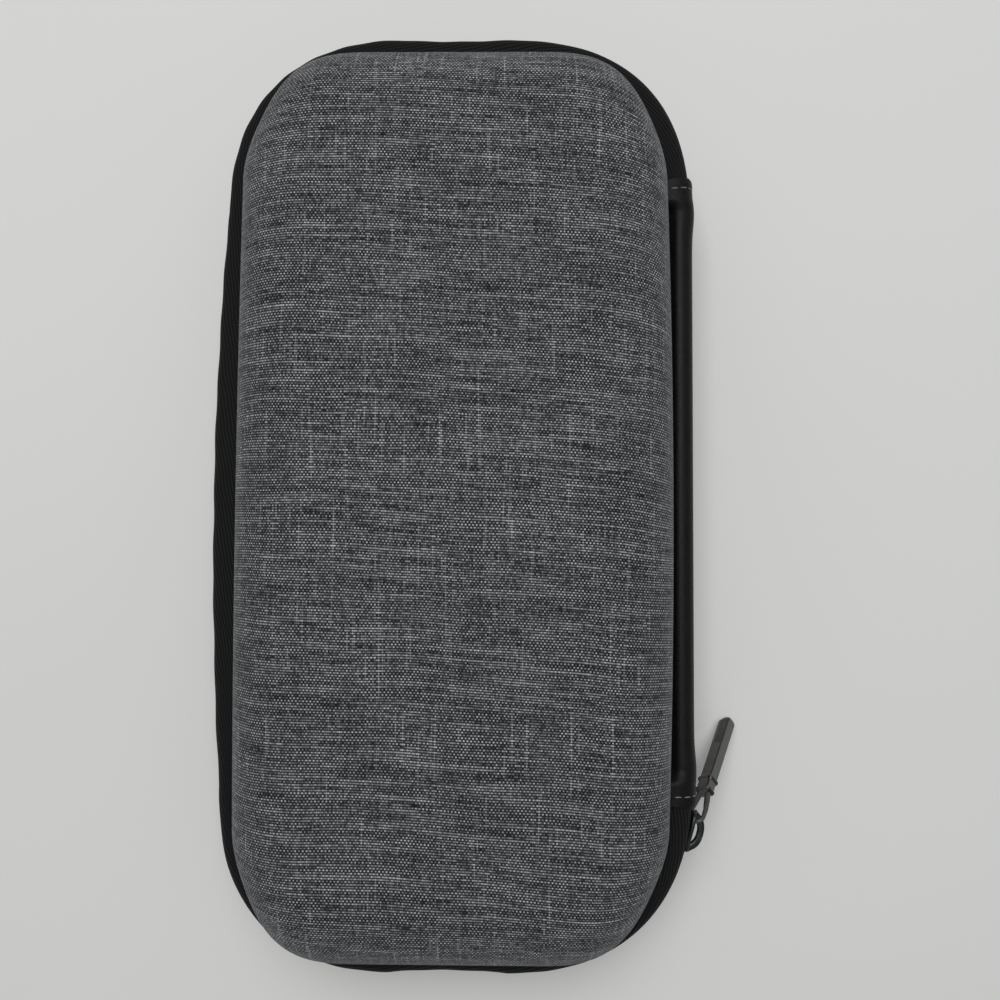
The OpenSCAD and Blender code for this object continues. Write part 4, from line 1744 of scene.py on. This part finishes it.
@dataclass
class Pull:
    """The slim moulded pull and the loop that carries it on the bridge."""

    form: Form
    finishes: Finishes
    loop: float = 2.5
    wire: float = 0.76
    slid: float = 3.0
    hangs: float = 0.6
    leg_end: float = 9.8
    length: float = 47.0
    half_w: float = 2.6
    half_t: float = 2.1
    turned: float = 20.0
    rib_from: float = 1.0
    rib_step: float = GRIP_RIB_STEP
    rib_reach: tuple[float, float, float] = (0.85, 0.55, 0.4)
    face_sunk: float = 0.22
    panel_sunk: float = 0.28
    panel: float = 14.0

    def place(self) -> Place:
        """The pull's frame: X towards the tip, Y across the loop's two legs, Z out of its face.

        The loop has slid a little way along the bridge from the middle of the joint, and hangs a little lower.
        """
        start, bar = joint_axis("pull_lift")
        knuckle, bend = joint_axis("grip_flex")
        along = unit(knuckle - start)
        across = -bend
        hung_at = start - bar * self.slid - [0.0, 0.0, self.hangs]
        return Place(hung_at, np.stack([along, across, np.cross(along, across)]))

    def build(self) -> None:
        """Makes the loop and the grip."""
        place = self.place()
        self.cord(place)
        self.grip(place)

    def cord(self, place: Place) -> None:
        """The loop: half a circle round the bridge and two straight legs that run into the grip."""
        end = self.leg_end + 3.0
        legs = np.linspace(end, 0, 14)
        bend = np.linspace(math.pi / 2, 3 * math.pi / 2, 25)[1:-1]
        narrow = self.loop - 1.1 * np.clip((legs - 3.0) / 7.5, 0, 1)
        line = np.concatenate([
            np.stack([legs, narrow, 0 * legs], -1),
            np.stack([self.loop * np.cos(bend), self.loop * np.sin(bend), 0 * bend], -1),
            np.stack([legs[::-1], -narrow[::-1], 0 * legs], -1)])
        thick = self.wire * (1 + 0.4 * np.clip(line[:, 0] / 7, 0, 1))
        rings = sweep(line, thick, 16)
        piece = Builder().tube(place.out(rings)).build("pull_loop")
        finish_piece(piece, self.finishes.cord, None, ["pull_cord"])
        ends = [place.out(np.array([x, 0.0, 0.0])) * MM for x in (self.leg_end - 2.5, self.leg_end + 2.5)]
        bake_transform(piece)

    def grip(self, place: Place) -> None:
        """The grip: a rounded bar with two ribs near the loop, a rimmed face, and a plain sunk panel.

        The section is a superellipse that grows round towards the tip. Its half width follows the square root of
        1 - u^2 over the round tip. The ribs swell it by bell curves, and short ramps sink the face inside a
        narrow border.
        """
        start = self.leg_end + 0.2
        tip = np.linspace(0, math.pi / 2, 26)
        x = np.concatenate([start + 0.8 * (1 - np.cos(np.linspace(0, math.pi / 2, 8))),
                            np.linspace(start + 0.9, self.length - self.half_w, 150),
                            self.length - self.half_w * (1 - np.sin(tip[1:-1]))])
        from_start = np.clip((x - start) / 0.8, 0.02, 1)
        from_tip = np.clip((self.length - x) / self.half_w, 0, 1)
        round_off = np.sqrt(1 - (1 - from_start) ** 2)
        half_w = self.half_w * np.sqrt(1 - (1 - from_tip) ** 2) * round_off
        half_t = self.half_t * (1 - 0.55 * (1 - from_tip) ** 3) * round_off
        ribs = [start + self.rib_from, start + self.rib_from + self.rib_step]
        rib_l, rib_w, rib_t = self.rib_reach
        rib = sum(np.exp(-(np.abs(x - r) / rib_l) ** 4) for r in ribs)
        turn = full_turn(120)
        power = (0.28 + 0.6 * (1 - from_tip) ** 1.5 + 0.2 * np.exp(-((x - start) / 2) ** 2))[:, None]
        y = signed_power(np.cos(turn)[None], power) * (half_w + rib_w * rib)[:, None]
        z = signed_power(np.sin(turn)[None], power) * (half_t + rib_t * rib)[:, None]
        across = np.abs(y) / np.maximum(half_w, 0.05)[:, None]
        face = np.clip((0.84 - across) / 0.06, 0, 1) * np.clip((np.sin(turn)[None] - 0.4) / 0.1, 0, 1)
        first = ribs[-1] + 1.6
        body = np.clip((x - first) / 0.5, 0, 1) * np.clip((self.length - 0.8 - x) / 0.5, 0, 1)
        sunk = self.face_sunk * face * body[:, None]
        low, high = self.length - self.panel, self.length - 1.9
        panel = np.clip((x - low) / 0.4, 0, 1) * np.clip((high - x) / 0.4, 0, 1)
        inner = np.clip((0.66 - across) / 0.06, 0, 1) * (np.sin(turn)[None] > 0.4)
        sunk = sunk + self.panel_sunk * inner * panel[:, None]
        z = z - sunk
        turned = math.radians(self.turned)
        points = np.stack([np.broadcast_to(x[:, None], y.shape), y * math.cos(turned) + z * math.sin(turned),
                           z * math.cos(turned) - y * math.sin(turned)], -1)
        uv = np.stack([points[..., 0] - ribs[0], np.where(np.sin(turn) > 0.3, y, np.sign(y) * 9.0)], -1)
        uv = np.concatenate([uv, uv[:, :1]], 1)
        piece = Builder().tube(place.out(points), flip=True, uv=uv).build("pull_grip_moulded")
        finish_piece(piece, self.finishes.grip, "grip", ["pull_grip"])


# ---- studio ----


@dataclass
class Studio:
    """The floor, the lights and the camera."""

    finishes: Finishes
    floor_half: float = 3.0
    lens: float = 34.92
    camera_at: tuple[float, float, float] = (20.9, -17.0, 385.1)
    camera_turn: tuple[float, float, float] = (2.66, 0.80, 0.25)
    key_at: tuple[float, float, float] = (-0.02, 0.36, 1.3)
    key_towards: tuple[float, float, float] = (0.0, 0.0, 0.03)
    key_size: float = 0.8
    key_power: float = 14.2
    sky: float = 0.33

    def build(self) -> None:
        """Sets up everything that isn't part of the object."""
        self.floor()
        self.world()
        self.area_light("key", self.key_at, self.key_towards, self.key_size, self.key_power)
        self.camera()
        bpy.context.scene.view_settings.view_transform = "Standard"

    def floor(self) -> None:
        """A level square under the case."""
        half = self.floor_half / MM
        corners = np.array([[[-half, -half, 0.0], [-half, half, 0.0]], [[half, -half, 0.0], [half, half, 0.0]]])
        floor = Builder().grid(corners).build("studio_floor")
        floor.data.materials.append(self.finishes.floor)

    def world(self) -> None:
        """An even, dim sky that fills the shadows."""
        world = bpy.data.worlds.new("studio")
        world.use_nodes = True
        background = world.node_tree.nodes["Background"]
        background.inputs["Color"].default_value = (1.0, 1.0, 1.0, 1.0)
        background.inputs["Strength"].default_value = self.sky
        bpy.context.scene.world = world

    @staticmethod
    def area_light(name: str, at: Sequence[float], towards: Sequence[float], size: float, power: float) -> None:
        """A square soft light.

        Args:
            name: Its name.
            at: Where it stands, in metres.
            towards: The point it faces.
            size: Its side in metres.
            power: Its power in watts.
        """
        data = bpy.data.lights.new(name, "AREA")
        data.shape, data.size, data.energy = "SQUARE", size, power
        light = bpy.data.objects.new(name, data)
        light.location = at
        light.rotation_euler = (Vector(towards) - Vector(at)).to_track_quat("-Z", "Y").to_euler()
        bpy.context.scene.collection.objects.link(light)

    def camera(self) -> None:
        """A camera above the case, looking almost straight down."""
        data = bpy.data.cameras.new("camera")
        data.lens = self.lens
        data.sensor_width = 36.0
        data.clip_start = 0.01
        camera = bpy.data.objects.new("camera", data)
        turns = [Matrix.Rotation(math.radians(a), 4, axis) for a, axis in zip(self.camera_turn, "XYZ")]
        place = Matrix.Translation(Vector(self.camera_at) * MM)
        camera.matrix_world = place @ turns[0] @ turns[1] @ turns[2]
        bpy.context.scene.collection.objects.link(camera)
        bpy.context.scene.camera = camera


def main() -> None:
    """Builds the case, assembly by assembly, and its studio."""
    logging.basicConfig(level=logging.INFO, format="%(name)s: %(message)s")
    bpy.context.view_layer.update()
    finishes = Finishes()
    form = Form()
    assemblies: list[HalfShell | ZipHalf | Spine | FoamInserts | Slider | Pull | Studio] = [
        *(HalfShell(form, finishes, side) for side in Side),
        *(ZipHalf(form, finishes, side) for side in Side),
        Spine(form, finishes),
        FoamInserts(form, finishes),
        Slider(form, finishes),
        Pull(form, finishes),
        Studio(finishes),
    ]
    for assembly in assemblies:
        log.info("building %s", type(assembly).__name__)
        assembly.build()


if __name__ == "__main__":
    main()
